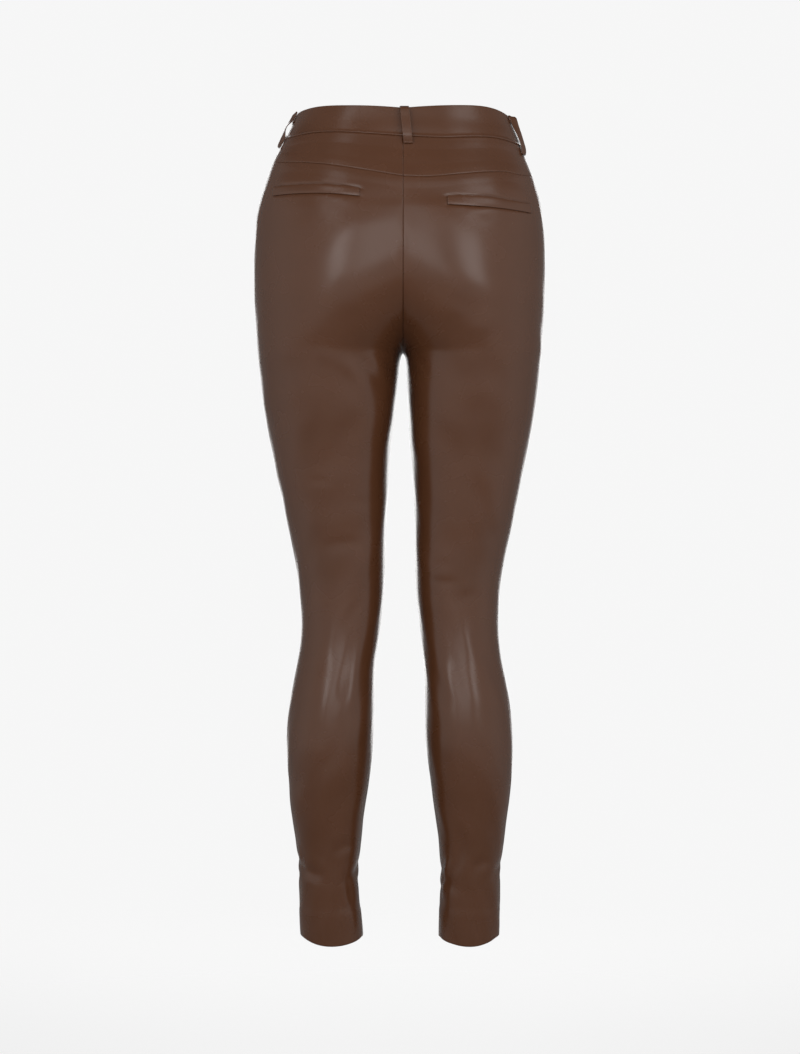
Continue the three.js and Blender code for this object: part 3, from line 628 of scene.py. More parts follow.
def crease_line(crease, side, angle, drop):
    """The height that one crease gives the cloth, in millimetres."""
    radius = (OUT[side](drop) - INNER[side](drop)) / 2
    middle_angle = (crease["angle"] + crease["to_angle"]) / 2
    x = np.radians(degrees_apart(angle, middle_angle)) * radius
    half_turn = math.radians((crease["to_angle"] - crease["angle"]) / 2)
    mean_radius = float(np.mean((OUT[side](crease["drop"]) - INNER[side](crease["drop"])) / 2))
    start = np.array([-half_turn * mean_radius, crease["drop"]])
    run = np.array([2 * half_turn * mean_radius, crease["to_drop"] - crease["drop"]])
    long = float(np.hypot(*run))
    along = ((x - start[0]) * run[0] + (drop - start[1]) * run[1]) / long**2
    beside = ((x - start[0]) * run[1] - (drop - start[1]) * run[0]) / long
    beside = beside - crease["bow"] * (1 - (2 * along - 1) ** 2)
    taper = fade_out(np.abs(2 * along - 1) ** 1.6)
    width = crease["wide"] * (0.75 + 0.25 * taper)
    trough = np.exp(-((beside / width) ** 2))
    shoulder = np.exp(-((np.abs(beside) / width - SHOULDER_PLACE) ** 2))
    return -crease["deep"] * taper * (trough - SHOULDER * shoulder)


# Broad, very shallow waves: degrees for one wave round, millimetres for one down, height, start
WAVES = [(74, 131, 0.28, 0.4), (47, 83, 0.2, 2.1), (31, 57, 0.12, 4.4), (113, 49, 0.14, 1.3)]


def cloth_relief(side, angle, drop):
    """All the creases of one side, with the cloth's broad unevenness."""
    start = 0.0 if side == "left" else 1.7
    total = np.zeros(np.broadcast(angle, drop).shape)
    for around, down, high, phase in WAVES:
        turn = np.degrees(angle) / around + drop / down
        total = total + high * np.sin(2 * math.pi * turn + phase + start) * np.cos(drop / down + start)
    for crease in CREASES:
        if crease["side"] == side:
            total = total + crease_line(crease, side, angle, drop)
    return total


print(len(CREASES), "creases")

# %% [markdown]
# Cloth turns down where it is sewn. Close to a seam the surface rolls over a small radius into a groove,
# and for a finger's width it stands a little higher, because the seam allowance lies under it. So the
# points of a panel stand close together beside each edge and further apart in the middle.

# %% Spacing of points and the roll at an edge
NEAR_EDGE = np.array([0, 0.2, 0.5, 0.9, 1.4, 2.1, 3.2, 5, 8, 12])
ROLL_RADIUS = 1.5
ROLL_DEEP = 0.95
ALLOWANCE_WIDE = 9.5
ALLOWANCE_HIGH = 0.32


def seam_shape(distance, deep=ROLL_DEEP):
    """The height of the cloth at a distance from a sewn edge."""
    inside = np.clip(1 - distance / ROLL_RADIUS, 0, 1)
    roll = deep * (1 - np.sqrt(1 - inside**2))
    allowance = ALLOWANCE_HIGH * fade_out((distance - ALLOWANCE_WIDE) / 3)
    return allowance - roll


def spread(widths, cells):
    """Distances across each row: dense by both edges, even between."""
    widths = np.asarray(widths, float)[:, None]
    near = np.broadcast_to(NEAR_EDGE, (len(widths), len(NEAR_EDGE)))
    share = np.arange(1, cells)[None, :] / cells
    middle = NEAR_EDGE[-1] + (widths - 2 * NEAR_EDGE[-1]) * share
    return np.concatenate([near, middle, widths - near[:, ::-1]], axis=1)


print("points beside an edge:", len(NEAR_EDGE))

# %% [markdown]
# A piece of cloth is a closed shell: an outer face, an inner face and the rim between them. Its UV map
# is laid out in metres along the cloth, so that the grain keeps one size on every piece.

# %% From a grid of points to a shell
CLOTH_THICK = 1.5


def run_lengths(points, axis):
    """Distances along the grid from its first row or column, in metres."""
    steps = length(np.diff(points, axis=axis))
    start = np.zeros_like(np.take(steps, [0], axis=axis))
    return np.concatenate([start, np.cumsum(steps, axis=axis)], axis=axis) * MM


def cloth_shell(name, outer, inner):
    """A closed shell from two grids of points, rows by columns, in millimetres."""
    rows, columns = outer.shape[:2]
    across = run_lengths(outer, 1)
    across = across - across[:, [columns // 2]]
    down = np.broadcast_to(run_lengths(outer, 0)[:, [columns // 2]], (rows, columns))
    layout = np.stack([across, down], axis=-1).reshape(-1, 2)
    index = np.arange(rows * columns).reshape(rows, columns)
    back = index + rows * columns

    def cells(grid):
        corners = [grid[:-1, :-1], grid[1:, :-1], grid[1:, 1:], grid[:-1, 1:]]
        return np.stack(corners, axis=-1).reshape(-1, 4)

    def rim(front_line, back_line):
        corners = [front_line[:-1], front_line[1:], back_line[1:], back_line[:-1]]
        return np.stack(corners, axis=-1)

    faces = np.concatenate([
        cells(index),
        cells(back)[:, ::-1],
        rim(index[0], back[0]),
        rim(index[-1], back[-1])[:, ::-1],
        rim(index[:, 0], back[:, 0])[:, ::-1],
        rim(index[:, -1], back[:, -1]),
    ])
    points = np.concatenate([outer.reshape(-1, 3), inner.reshape(-1, 3)]) * MM
    return shell_object(name, points, faces, np.concatenate([layout, layout]))


def shell_object(name, points, faces, layout):
    """A mesh object with its faces outwards and a UV map."""
    corners = points[faces]
    volume = np.sum(corners[:, 0] * np.cross(corners[:, 1], corners[:, 2]))
    volume += np.sum(corners[:, 0] * np.cross(corners[:, 2], corners[:, 3]))
    if volume < 0:
        faces = faces[:, ::-1]
    mesh = bpy.data.meshes.new(name)
    mesh.from_pydata(points.tolist(), [], faces.tolist())
    chart = mesh.uv_layers.new(name="cloth")
    chart.data.foreach_set("uv", layout[faces.reshape(-1)].reshape(-1).astype(np.float32))
    piece = bpy.data.objects.new(name, mesh)
    scene.collection.objects.link(piece)
    only(piece)
    bpy.ops.object.shade_smooth_by_angle(angle=math.radians(50))
    return piece


def only(piece):
    """Selects one piece and makes it the active one."""
    bpy.ops.object.select_all(action="DESELECT")
    piece.select_set(True)
    bpy.context.view_layer.objects.active = piece


def side_points(side, points):
    """Mirrors the right side into place."""
    return points * np.array([1 if side == "left" else -1, 1, 1])


print("cloth is", CLOTH_THICK, "mm thick")

# %% [markdown]
# The finish is a coated cloth: deep brown, with a satin skin and a fine pebbled grain that is felt more
# than seen. The brown changes very little over a hand's width. The grain is a bump, because it is finer
# than a hair, and the gloss comes from the shader, so it follows the lights in every view.

# %% Faux leather
LEATHER_DEEP = (0.075, 0.0275, 0.0112, 1)
LEATHER_LIGHT = (0.093, 0.0349, 0.0148, 1)
GRAIN_MM = 1.3
CLOUD_MM = 55


def texture_node(tree, kind, layout, scale, **settings):
    """A texture that reads the cloth's own layout."""
    node = tree.nodes.new(kind)
    tree.links.new(layout.outputs["UV"], node.inputs["Vector"])
    node.inputs["Scale"].default_value = scale
    for key, value in settings.items():
        node.inputs[key].default_value = value
    return node


def range_node(tree, source, low, high):
    """Maps a texture's 0 to 1 onto a narrow range."""
    node = tree.nodes.new("ShaderNodeMapRange")
    node.inputs["To Min"].default_value = low
    node.inputs["To Max"].default_value = high
    tree.links.new(source, node.inputs["Value"])
    return node


def faux_leather(name, deep, light, rough, bump):
    """A coated cloth with a fine grain."""
    finish = bpy.data.materials.new(name)
    finish.use_nodes = True
    tree = finish.node_tree
    skin = tree.nodes["Principled BSDF"]
    layout = tree.nodes.new("ShaderNodeUVMap")
    layout.uv_map = "cloth"
    clouds = texture_node(tree, "ShaderNodeTexNoise", layout, 1 / (CLOUD_MM * MM), Detail=4.0)
    pebbles = texture_node(tree, "ShaderNodeTexVoronoi", layout, 1 / (GRAIN_MM * MM))
    fuzz = texture_node(tree, "ShaderNodeTexNoise", layout, 1 / (0.45 * MM), Detail=2.0)
    tint = tree.nodes.new("ShaderNodeMix")
    tint.data_type = "RGBA"
    tint.inputs["A"].default_value = deep
    tint.inputs["B"].default_value = light
    tree.links.new(clouds.outputs["Fac"], tint.inputs["Factor"])
    tree.links.new(tint.outputs["Result"], skin.inputs["Base Color"])
    gloss = range_node(tree, clouds.outputs["Fac"], rough - 0.04, rough + 0.04)
    tree.links.new(gloss.outputs["Result"], skin.inputs["Roughness"])
    grain = tree.nodes.new("ShaderNodeMath")
    grain.operation = "MULTIPLY_ADD"
    grain.inputs[1].default_value = 0.5
    tree.links.new(fuzz.outputs["Fac"], grain.inputs[0])
    tree.links.new(pebbles.outputs["Distance"], grain.inputs[2])
    relief = tree.nodes.new("ShaderNodeBump")
    relief.inputs["Strength"].default_value = bump
    relief.inputs["Distance"].default_value = 0.06 * MM
    tree.links.new(grain.outputs["Value"], relief.inputs["Height"])
    tree.links.new(relief.outputs["Normal"], skin.inputs["Normal"])
    skin.inputs["IOR"].default_value = 1.5
    skin.inputs["Specular IOR Level"].default_value = 0.36
    skin.inputs["Sheen Weight"].default_value = 0.02
    skin.inputs["Sheen Roughness"].default_value = 0.4
    return finish


leather = faux_leather("faux_leather_brown", LEATHER_DEEP, LEATHER_LIGHT, rough=0.27, bump=0.25)
print("finish:", leather.name)


def dress(piece, *nodes, slot="faux_leather", finish=leather):
    """Gives a piece its finish, and lets it stand for its solid."""
    piece.data.materials.append(finish)
    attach(piece, "root")
    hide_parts(*nodes)
    triangles = sum(len(face.vertices) - 2 for face in piece.data.polygons)
    print(piece.name, triangles, "triangles")
    return piece


# %% [markdown]
# A long panel runs from the yoke seam or the waistband down one leg to the hem. Above the crotch its rows
# bend down to meet the middle seam squarely, in even steps along that seam, so no column is sheared.
# Below the crotch the rows are level, and the last ones take the arc of the hem.

# %% Rows of a long panel
CROTCH_DROP = 276.4
HEM_DROP = 956
HEM_BACK_DIP = 9
HEM_FRONT_LIFT = 5
HEM_FADE = 34
EDGE_FADE = 3 / 7
ROW_SAG = 1.6
FINE_ROWS_TO = 62
FINE_STEP = 1.7
ROW_STEP = 3.6
TRUNK_LENGTH = 235


def hem_level(side, face, column):
    """How far the hem lies below or above its mean level."""
    angle = column_angle(side, face, column, np.full(np.shape(column), float(HEM_DROP)))
    corner = 2 * np.clip(column - 0.85, 0, None) / 0.15 if face == "front" else 0
    return corner + (HEM_BACK_DIP if face == "back" else -HEM_FRONT_LIFT) * np.sin(angle) ** 2


def middle_seam(side, face, top):
    """The middle seam's level and angle, for shares of its length."""
    left = 1 - np.linspace(0, 1, 401)
    drop = CROTCH_DROP - (CROTCH_DROP - top) * left**2
    angle = inner_angle(side, face, drop)
    points = ring_point(side, angle, drop)
    along = np.concatenate([[0], np.cumsum(length(np.diff(points, axis=0)))])
    share = along / along[-1]
    return (lambda t: np.interp(t, share, drop)), (lambda t: np.interp(t, share, angle))


def trunk_shares():
    """Shares of the way down the trunk: dense at the top seam, fine past the pockets, then even."""
    fine = np.arange(NEAR_EDGE[-1] + FINE_STEP, FINE_ROWS_TO, FINE_STEP)
    coarse = np.linspace(FINE_ROWS_TO, TRUNK_LENGTH, round((TRUNK_LENGTH - FINE_ROWS_TO) / ROW_STEP) + 1)
    return np.concatenate([NEAR_EDGE, fine, coarse]) / TRUNK_LENGTH


def leg_levels():
    """Levels from just below the crotch to the hem, dense at the hem."""
    last = HEM_DROP - NEAR_EDGE[-1]
    even = np.linspace(CROTCH_DROP, last, round((last - CROTCH_DROP) / ROW_STEP) + 1)[1:-1]
    return np.concatenate([even, HEM_DROP - NEAR_EDGE[::-1]])


def panel_place(side, face, trunk, legs, columns):
    """The angle and level of every point of a long panel."""
    side_top = edge_level("yoke_low", side, "back", 0.0)
    if face == "back":
        tops = edge_level("yoke_low", side, face, columns[: len(trunk)])
        seam_top = float(edge_level("yoke_low", side, face, 1.0))
    else:
        tops = np.full(columns[: len(trunk)].shape, float(side_top))
        seam_top = float(side_top)
    seam_drop, seam_angle = middle_seam(side, face, seam_top)
    t, c = trunk[:, None], columns[: len(trunk)]
    side_drop = side_top + (CROTCH_DROP - side_top) * t
    sagged = side_drop + (seam_drop(t) - side_drop) * c**ROW_SAG
    first = side_top + (seam_top - side_top) * c**ROW_SAG
    near_top = fade_out(t / EDGE_FADE)
    drop = sagged + (tops - first) * near_top
    start = side_angle(side, drop)
    end = seam_angle(t) + (inner_angle(side, face, drop) - seam_angle(t)) * near_top
    angle = start + (end - start) * c
    c = columns[len(trunk):]
    low = legs[:, None] + hem_level(side, face, c) * fade_out((HEM_DROP - legs[:, None]) / HEM_FADE)
    low_angle = column_angle(side, face, c, low)
    return np.concatenate([angle, low_angle]), np.concatenate([drop, low])


print(len(trunk_shares()), "rows to the crotch and", len(leg_levels()), "below it")

# %% [markdown]
# The columns are placed after the rows. A first coarse pass measures how wide each row is, and the second
# puts the columns at true distances from both seams.

# %% Columns of a long panel
PANEL_CELLS = 36


def true_columns(place, count, cells):
    """Column shares that lie at true distances from both edges of each row, and those distances."""
    even = np.broadcast_to(np.linspace(0, 1, 49), (count, 49))
    coarse = place(even)
    steps = length(np.diff(coarse, axis=1))
    along = np.concatenate([np.zeros((count, 1)), np.cumsum(steps, axis=1)], axis=1)
    wanted = spread(along[:, -1], cells)
    shares = np.stack([np.interp(wanted[k], along[k], even[k]) for k in range(count)])
    return shares, wanted, along[:, -1]


def long_panel_grid(side, face):
    """Angles, levels and distances from the edges for a whole long panel."""
    trunk, legs = trunk_shares(), leg_levels()
    count = len(trunk) + len(legs)

    def place(columns):
        angle, drop = panel_place(side, face, trunk, legs, columns)
        return ring_point(side, angle, drop)

    columns, across, widths = true_columns(place, count, PANEL_CELLS)
    angle, drop = panel_place(side, face, trunk, legs, columns)
    from_top = np.concatenate([trunk * TRUNK_LENGTH, TRUNK_LENGTH + legs - CROTCH_DROP])[:, None]
    from_hem = np.concatenate([HEM_DROP - CROTCH_DROP + TRUNK_LENGTH * (1 - trunk), HEM_DROP - legs])[:, None]
    return {
        "angle": angle, "drop": drop, "columns": columns, "from_side": across,
        "from_inner": widths[:, None] - across, "from_top": from_top, "from_hem": from_hem,
    }


print("columns:", PANEL_CELLS + 2 * len(NEAR_EDGE) - 1)

# %% [markdown]
# A back pocket is a single welt: a narrow strip sewn along its foot, with the mouth of the pocket behind
# its upper edge. On the panel the mouth shows as a thin dark line, pressed in above the strip.

# %% Pocket welts
WELT_THICK = 1.3
STAND_OFF = 0.3
WELTS = {
    "pocket_welt_left": {
        "side": "left", "from": 49, "to": 149, "cut": (0.114, 0.012),
        "top": [(48, 98), (75, 94), (95, 92), (128, 90.5), (150, 89.5)],
        "low": [(48, 107.4), (75, 104), (95, 102.4), (128, 101), (150, 100.4)],
    },
    "pocket_welt_right": {
        "side": "right", "from": 50, "to": 147, "cut": (0.114, 0.0125),
        "top": [(48, 106.7), (92, 106.2), (122, 108.6), (148, 110)],
        "low": [(48, 117.1), (90, 118), (122, 119.4), (148, 120.4)],
    },
}
MOUTH_DEEP = 1.7
MOUTH_WIDE = 1.2


def welt_edge(welt, edge):
    """The level of a welt's edge by distance from the middle plane."""
    return curve(named_rows(EDGE_COLUMNS, welt[edge]), "drop", "across")


def pocket_press(side, points):
    """How a pocket shapes the panel under and round its welt."""
    total = np.zeros(points.shape[:-1])
    for welt in WELTS.values():
        if welt["side"] != side:
            continue
        across, drop = points[..., 0], -points[..., 2]
        within = fade_out((welt["from"] - across) / 1.5) * fade_out((across - welt["to"]) / 1.5)
        mouth = (drop - welt_edge(welt, "top")(across)) / MOUTH_WIDE
        foot = (drop - welt_edge(welt, "low")(across)) / MOUTH_WIDE
        bag = fade_out((drop - welt_edge(welt, "low")(across)) / 60) * (foot > 0)
        total = total - within * (MOUTH_DEEP * np.exp(-(mouth**2)) + 0.7 * np.exp(-(foot**2)))
        total = total + 0.12 * within * bag
    return total


def pocket_welt(name, welt):
    """The narrow strip of a back pocket, crowned, with its rim rolled."""
    side = welt["side"]
    across = spread([welt["to"] - welt["from"]], 24)[0] + welt["from"]
    high = np.concatenate([[0, 0.06, 0.14, 0.25], np.linspace(0.36, 0.64, 5), [0.75, 0.86, 0.94, 1]])
    top, low = welt_edge(welt, "top")(across), welt_edge(welt, "low")(across)
    drop = top + (low - top) * high[:, None]

    def past(angle):
        return ring_point(side, angle, drop)[..., 0] < across

    angle = turn_where(past, np.full(drop.shape, math.radians(2)), np.full(drop.shape, math.radians(120)))
    point, normal = ring_point(side, angle, drop), skin_normal(side, angle, drop)
    crown = 0.5 * (1 - (2 * high[:, None] - 1) ** 4)
    ends = np.minimum(across - welt["from"], welt["to"] - across)
    roll = 0.5 * np.clip(1 - ends / 1.4, 0, 1) ** 2
    lift = STAND_OFF + WELT_THICK - 0.35 + crown - roll
    outer = point + normal * lift[..., None]
    inner = point + normal * STAND_OFF
    return cloth_shell(name + "_cloth", side_points(side, outer), side_points(side, inner))


for name, welt in WELTS.items():
    strip = dress(pocket_welt(name, welt), name)

# %% [markdown]
# Now the four panels themselves. The back ones carry the press of the pockets. The right front one is
# raised a little beside the middle, where the fly lies in two layers. At the hems the cloth is turned up
# inside, which shows on the outside as a faint step.

# %% The four long panels
HEM_TURN_UP = 30
HEM_STEP = 0.3
TURN_UP_THICK = 1.1
FLY_WIDE = 36
FLY_LOW = 178
FLY_HIGH = 0.8


def panel_relief(side, face, grid, points):
    """The height of the cloth over its section, all over a long panel."""
    relief = cloth_relief(side, grid["angle"], grid["drop"])
    calm = 1 - fade_out(np.minimum(grid["from_side"], grid["from_inner"]) / 9)
    relief = relief * calm * (1 - fade_out(grid["from_top"] / 25))
    relief = relief + seam_shape(grid["from_side"]) + seam_shape(grid["from_inner"])
    relief = relief + seam_shape(grid["from_top"], 0.8)
    relief = relief + HEM_STEP * fade_out((grid["from_hem"] - HEM_TURN_UP) / 3)
    relief = relief - 0.7 * np.clip(1 - grid["from_hem"] / 1.6, 0, 1) ** 2
    if face == "back":
        relief = relief + pocket_press(side, points)
    elif side == "right":
        low = FLY_LOW - 22 * (grid["from_inner"] / FLY_WIDE) ** 3
        fly = fade_out((grid["from_inner"] - FLY_WIDE) / 2.5) * fade_out((grid["drop"] - low) / 4)
        relief = relief + FLY_HIGH * fly
    return relief


def long_panel(name, side, face):
    """One long panel of cloth, from its upper seam to the hem."""
    grid = long_panel_grid(side, face)
    if face == "front":
        grid = with_front_top(side, grid)
    points = ring_point(side, grid["angle"], grid["drop"])
    normals = skin_normal(side, grid["angle"], grid["drop"])
    relief = panel_relief(side, face, grid, points)
    inside = np.minimum(relief, 0.4) - CLOTH_THICK - TURN_UP_THICK * fade_out((grid["from_hem"] - 28) / 1.5)
    inside = np.where(relief - inside < 1.0, relief - 1.0, inside)
    outer = points + normals * relief[..., None]
    inner = points + normals * inside[..., None]
    for layer in (outer, inner):
        layer[..., 0] = np.maximum(layer[..., 0], 0)
    outer[grid["drop"][:, -1] < CROTCH_DROP, -1, 0] = 0
    return cloth_shell(name, side_points(side, outer), side_points(side, inner))


def with_front_top(side, grid):
    """Adds the rows between the waistband and the level of the yoke seam to a front panel."""
    first = grid["columns"][0]
    top = edge_level("band_low", side, "front", first)
    low = grid["drop"][0]
    high = np.concatenate([NEAR_EDGE / 30, np.linspace(NEAR_EDGE[-1] / 30, 1, 7)[1:-1]])[:, None]
    drop = top + (low - top) * high
    angle = column_angle(side, "front", np.broadcast_to(first, drop.shape), drop)
    count = len(high)
    wide = {key: np.repeat(grid[key][:1], count, axis=0) for key in ("columns", "from_side", "from_inner")}
    return {
        "angle": np.concatenate([angle, grid["angle"]]),
        "drop": np.concatenate([drop, grid["drop"]]),
        "columns": np.concatenate([wide["columns"], grid["columns"]]),
        "from_side": np.concatenate([wide["from_side"], grid["from_side"]]),
        "from_inner": np.concatenate([wide["from_inner"], grid["from_inner"]]),
        "from_top": np.concatenate([high * 30, grid["from_top"] + 30]),
        "from_hem": np.concatenate([grid["from_hem"][0] + 30 * (1 - high), grid["from_hem"]]),
    }


PANEL_CUTS = {
    "back_leg_left": ("left", "back", "back_panel_left", (0.285, 0.912), 0.171),
    "back_leg_right": ("right", "back", "back_panel_right", (0.28, 0.904), 0.169),
    "front_leg_left": ("left", "front", "front_panel_left", (0.276, 0.93), 0.181),
    "front_leg_right": ("right", "front", "front_panel_right", (0.27, 0.924), 0.176),
}
for name, (side, face, node, flat, area) in PANEL_CUTS.items():
    panel = dress(long_panel(name, side, face), node)

# %% [markdown]
# The yokes are the shaped strips between the waistband and the back panels. They have no crease of their
# own, but they bulge a little between their seams.

# %% Back yokes
YOKE_ROWS = 16
YOKE_CELLS = 36


def yoke(side):
    """One back yoke, from the foot of the waistband to the yoke seam."""
    def place(columns):
        top = edge_level("band_low", side, "back", columns)
        low = edge_level("yoke_low", side, "back", columns)
        shares = np.concatenate([NEAR_EDGE / 40, np.linspace(0.3, 0.7, YOKE_ROWS)[1:-1], 1 - NEAR_EDGE[::-1] / 40])
        drop = top + (low - top) * shares[: len(columns), None]
        return column_angle(side, "back", columns, drop), drop

    count = 2 * len(NEAR_EDGE) + YOKE_ROWS - 2
    columns, across, widths = true_columns(lambda c: ring_point(side, *place(c)), count, YOKE_CELLS)
    angle, drop = place(columns)
    points, normals = ring_point(side, angle, drop), skin_normal(side, angle, drop)
    down = run_lengths(points, 0) / MM
    relief = 0.5 * cloth_relief(side, angle, drop)
    relief = relief + seam_shape(across) + seam_shape(widths[:, None] - across)
    relief = relief + seam_shape(down[-1] - down, 0.8) + seam_shape(down, 0.5)
    inside = np.minimum(relief - 1.0, -CLOTH_THICK)
    outer = points + normals * relief[..., None]
    inner = points + normals * inside[..., None]
    return cloth_shell("yoke_" + side, side_points(side, outer), side_points(side, inner))


YOKE_CUTS = {"left": ((0.177, 0.05), 0.0071), "right": ((0.178, 0.048), 0.0079)}
for side, (flat, area) in YOKE_CUTS.items():
    dress(yoke(side), "back_yoke_" + side)

# %% [markdown]
# The waistband is one strip, folded along its top and laid over the edge of the cloth below. Its fold is
# round, and its foot is pressed into a thin ridge that catches the light over a dark line. It goes all
# round, and its right front end laps over the left one.

# %% Waistband
BAND_THICK = 2.2
BAND_PROUD = 0.4
LAP_SHARE = 1 / 6
LAP_LIFT = BAND_THICK + 0.5
RAMP_FROM = 0.8
BAND_STATIONS = 44
BAND_HIGH = 33
BAND_SHARES = np.concatenate([
    np.array([0, 0.25, 0.6, 1.1, 1.8, 2.8, 4.5]) / BAND_HIGH,
    np.linspace(0.2, 0.84, 11),
    1 - np.array([4.2, 3.2, 2.4, 1.9, 1.4, 1.0, 0.6, 0.3, 0.1, 0]) / BAND_HIGH,
])
RIDGE_HIGH = 0.8
# Soft dents along the band: place round in millimetres, depth, half width
BAND_DENTS = [(150, 0.35, 16), (236, 0.5, 22), (320, 0.65, 17), (452, 0.7, 21), (540, 0.35, 15), (640, 0.4, 18)]


def band_part(side, face, columns, lift):
    """Points and directions for one stretch of the band."""
    drop_top = edge_level("band_top", side, face, columns)
    drop_low = edge_level("band_low", side, face, columns)
    drop = drop_top + (drop_low - drop_top) * BAND_SHARES[:, None]
    angle = column_angle(side, face, np.broadcast_to(columns, drop.shape), drop)
    points = side_points(side, ring_point(side, angle, drop))
    normals = side_points(side, skin_normal(side, angle, drop))
    return points, normals, np.broadcast_to(lift, columns.shape)


def waistband():
    """The whole band, from its left front end round the back to the lap on the right."""
    outwards = np.linspace(0, 1, BAND_STATIONS + 1)
    inwards = outwards[::-1]
    ramp = LAP_LIFT * (1 - fade_out((outwards - RAMP_FROM) / (1 - RAMP_FROM)))
    lap = np.linspace(1, 1 - LAP_SHARE, 12)
    parts = [
        band_part("left", "front", inwards, 0.0),
        band_part("left", "back", outwards[1:], 0.0),
        band_part("right", "back", inwards[1:], 0.0),
        band_part("right", "front", outwards[1:], ramp[1:]),
        band_part("left", "front", lap[1:], LAP_LIFT),
    ]
    points = np.concatenate([part[0] for part in parts], axis=1)
    normals = np.concatenate([part[1] for part in parts], axis=1)
    lifts = np.concatenate([part[2] for part in parts])
    around = run_lengths(points, 1)[len(BAND_SHARES) // 2] / MM
    from_top = BAND_SHARES[:, None] * BAND_HIGH
    from_low = BAND_HIGH - from_top
    relief = BAND_PROUD + 0.35 * np.sin(math.pi * BAND_SHARES[:, None])
    relief = relief + RIDGE_HIGH * np.exp(-(((from_low - 1.3) / 1.1) ** 2))
    relief = relief - 1.0 * (1 - np.sqrt(1 - np.clip(1 - from_top / 1.1, 0, 1) ** 2))
    relief = relief - 0.7 * (1 - np.sqrt(1 - np.clip(1 - from_low / 0.6, 0, 1) ** 2))
    for place, deep, wide in BAND_DENTS:
        bend = np.exp(-(((around - place) / wide) ** 2)) * np.sin(math.pi * BAND_SHARES[:, None])
        relief = relief - deep * bend
    ends = np.minimum(around, around[-1] - around)
    relief = relief - 0.8 * np.clip(1 - ends / 1.3, 0, 1) ** 2
    inside = BAND_PROUD - BAND_THICK + 0.9 * (1 - np.sqrt(1 - np.clip(1 - from_top / 1.1, 0, 1) ** 2))
    outer = points + normals * (relief + lifts)[..., None]
    inner = points + normals * (np.broadcast_to(inside, relief.shape) + lifts)[..., None]
    return cloth_shell("waistband_cloth", outer, inner)


band = dress(waistband(), "waistband")

# %% [markdown]
# A belt loop is a narrow strip folded under at both ends and tacked to the band. It is drawn as a path
# that starts under its own top end, turns over, bridges the band and turns under again at its foot, with
# a rounded section that has a shallow channel along the middle.

# %% Belt loops
LOOP_WIDE = 10.5
LOOP_THICK = 1.15
LOOP_COLUMNS = ("node", "side", "angle", "lean", "top", "low", "stand", "tilt", "bend", "tuck", "cut")
LOOPS = named_rows(LOOP_COLUMNS, [
    ("belt_loop_back", "right", 89.4, -0.7, 3.4, 45.2, 5.6, "none", "square", 7.5, 0.066),
    ("belt_loop_left", "left", 9, 0, -1.8, 38.6, 3.8, "ends", "humped", 13, 0.08),
    ("belt_loop_right", "right", 16, 0, 4.4, 48.5, 2.7, "turning", "square", 7.5, 0.0685),
    ("belt_loop_front_left", "left", -58, 0, 3.5, 45.5, 4.6, "none", "square", 7.5, 0.067),
    ("belt_loop_front_right", "right", -58, 0, 3.5, 47.5, 4.6, "none", "square", 7.5, 0.068),
])
BENDS = {
    "square": [(0, 0), (0.02, 0.5), (0.06, 0.9), (0.13, 1), (0.34, 1), (0.58, 0.98), (0.72, 0.94),
               (0.84, 0.82), (0.93, 0.42), (1, 0)],
    "humped": [(0, 0), (0.1, 0.1), (0.2, 0.2), (0.3, 0.48), (0.4, 0.88), (0.48, 1), (0.58, 0.85),
               (0.7, 0.4), (0.84, 0.15), (1, 0)],
}
# How steeply a strap is turned towards the back, down its length
TILTS = {
    "none": [(0, 0), (1, 0)],
    "ends": [(0, 0.1), (0.08, 0.34), (0.25, 0.3), (0.4, 0.04), (0.58, 0.04), (0.74, 0.32), (0.93, 0.34), (1, 0.2)],
    "turning": [(0, 0.3), (0.05, 0.64), (0.2, 0.56), (0.45, 0.34), (0.7, 0.2), (0.95, 0.18), (1, 0.05)],
}
LOOP_STATIONS = 46
SECTION_POINTS = 20


def loop_path(loop):
    """Shares down the loop, heights of the strip's inner face and its twist, with both ends folded under."""
    rows = named_rows(("along", "stand"), BENDS[loop["bend"]])
    stand = curve(rows, "stand", "along")
    long = loop["low"] - loop["top"]
    shares = np.linspace(0, 1, LOOP_STATIONS)
    rest = BAND_PROUD + STAND_OFF + LOOP_THICK + 0.25
    heights = rest + (loop["stand"] - LOOP_THICK * 0.5) * stand(shares)
    turn = np.linspace(0, math.pi, 7)[1:-1]
    radius = (LOOP_THICK + 0.2) / 2
    tuck = np.linspace(loop["tuck"] / long, 0.02, 5)
    fold_top = -np.sin(turn) * radius / long
    fold_low = 1 + np.sin(turn) * radius / long
    heights_top = heights[0] - radius - np.cos(turn) * radius
    heights_low = heights[-1] - radius + np.cos(turn) * radius
    under = np.full(5, heights[0] - 2 * radius)
    along = np.concatenate([tuck, fold_top, shares, fold_low, 1 - tuck[::-1]])
    height = np.concatenate([under, heights_top, heights, heights_low, under - heights[0] + heights[-1]])
    lower = curve(named_rows(("along", "slope"), TILTS[loop["tilt"]]), "slope", "along")(shares)
    still = np.zeros(len(tuck) + len(turn))
    return along, height, np.concatenate([still, lower, still])


def section_ring():
    """The rounded section of a strip, as shares of its width and thickness."""
    turn = 2 * math.pi * np.arange(SECTION_POINTS) / SECTION_POINTS
    wide = np.sign(np.cos(turn)) * np.abs(np.cos(turn)) ** 0.35
    thick = np.sign(np.sin(turn)) * np.abs(np.sin(turn)) ** 0.6
    thick = thick - 0.16 * (thick > 0.5) * np.exp(-((wide / 0.45) ** 2))
    return wide / 2, thick / 2


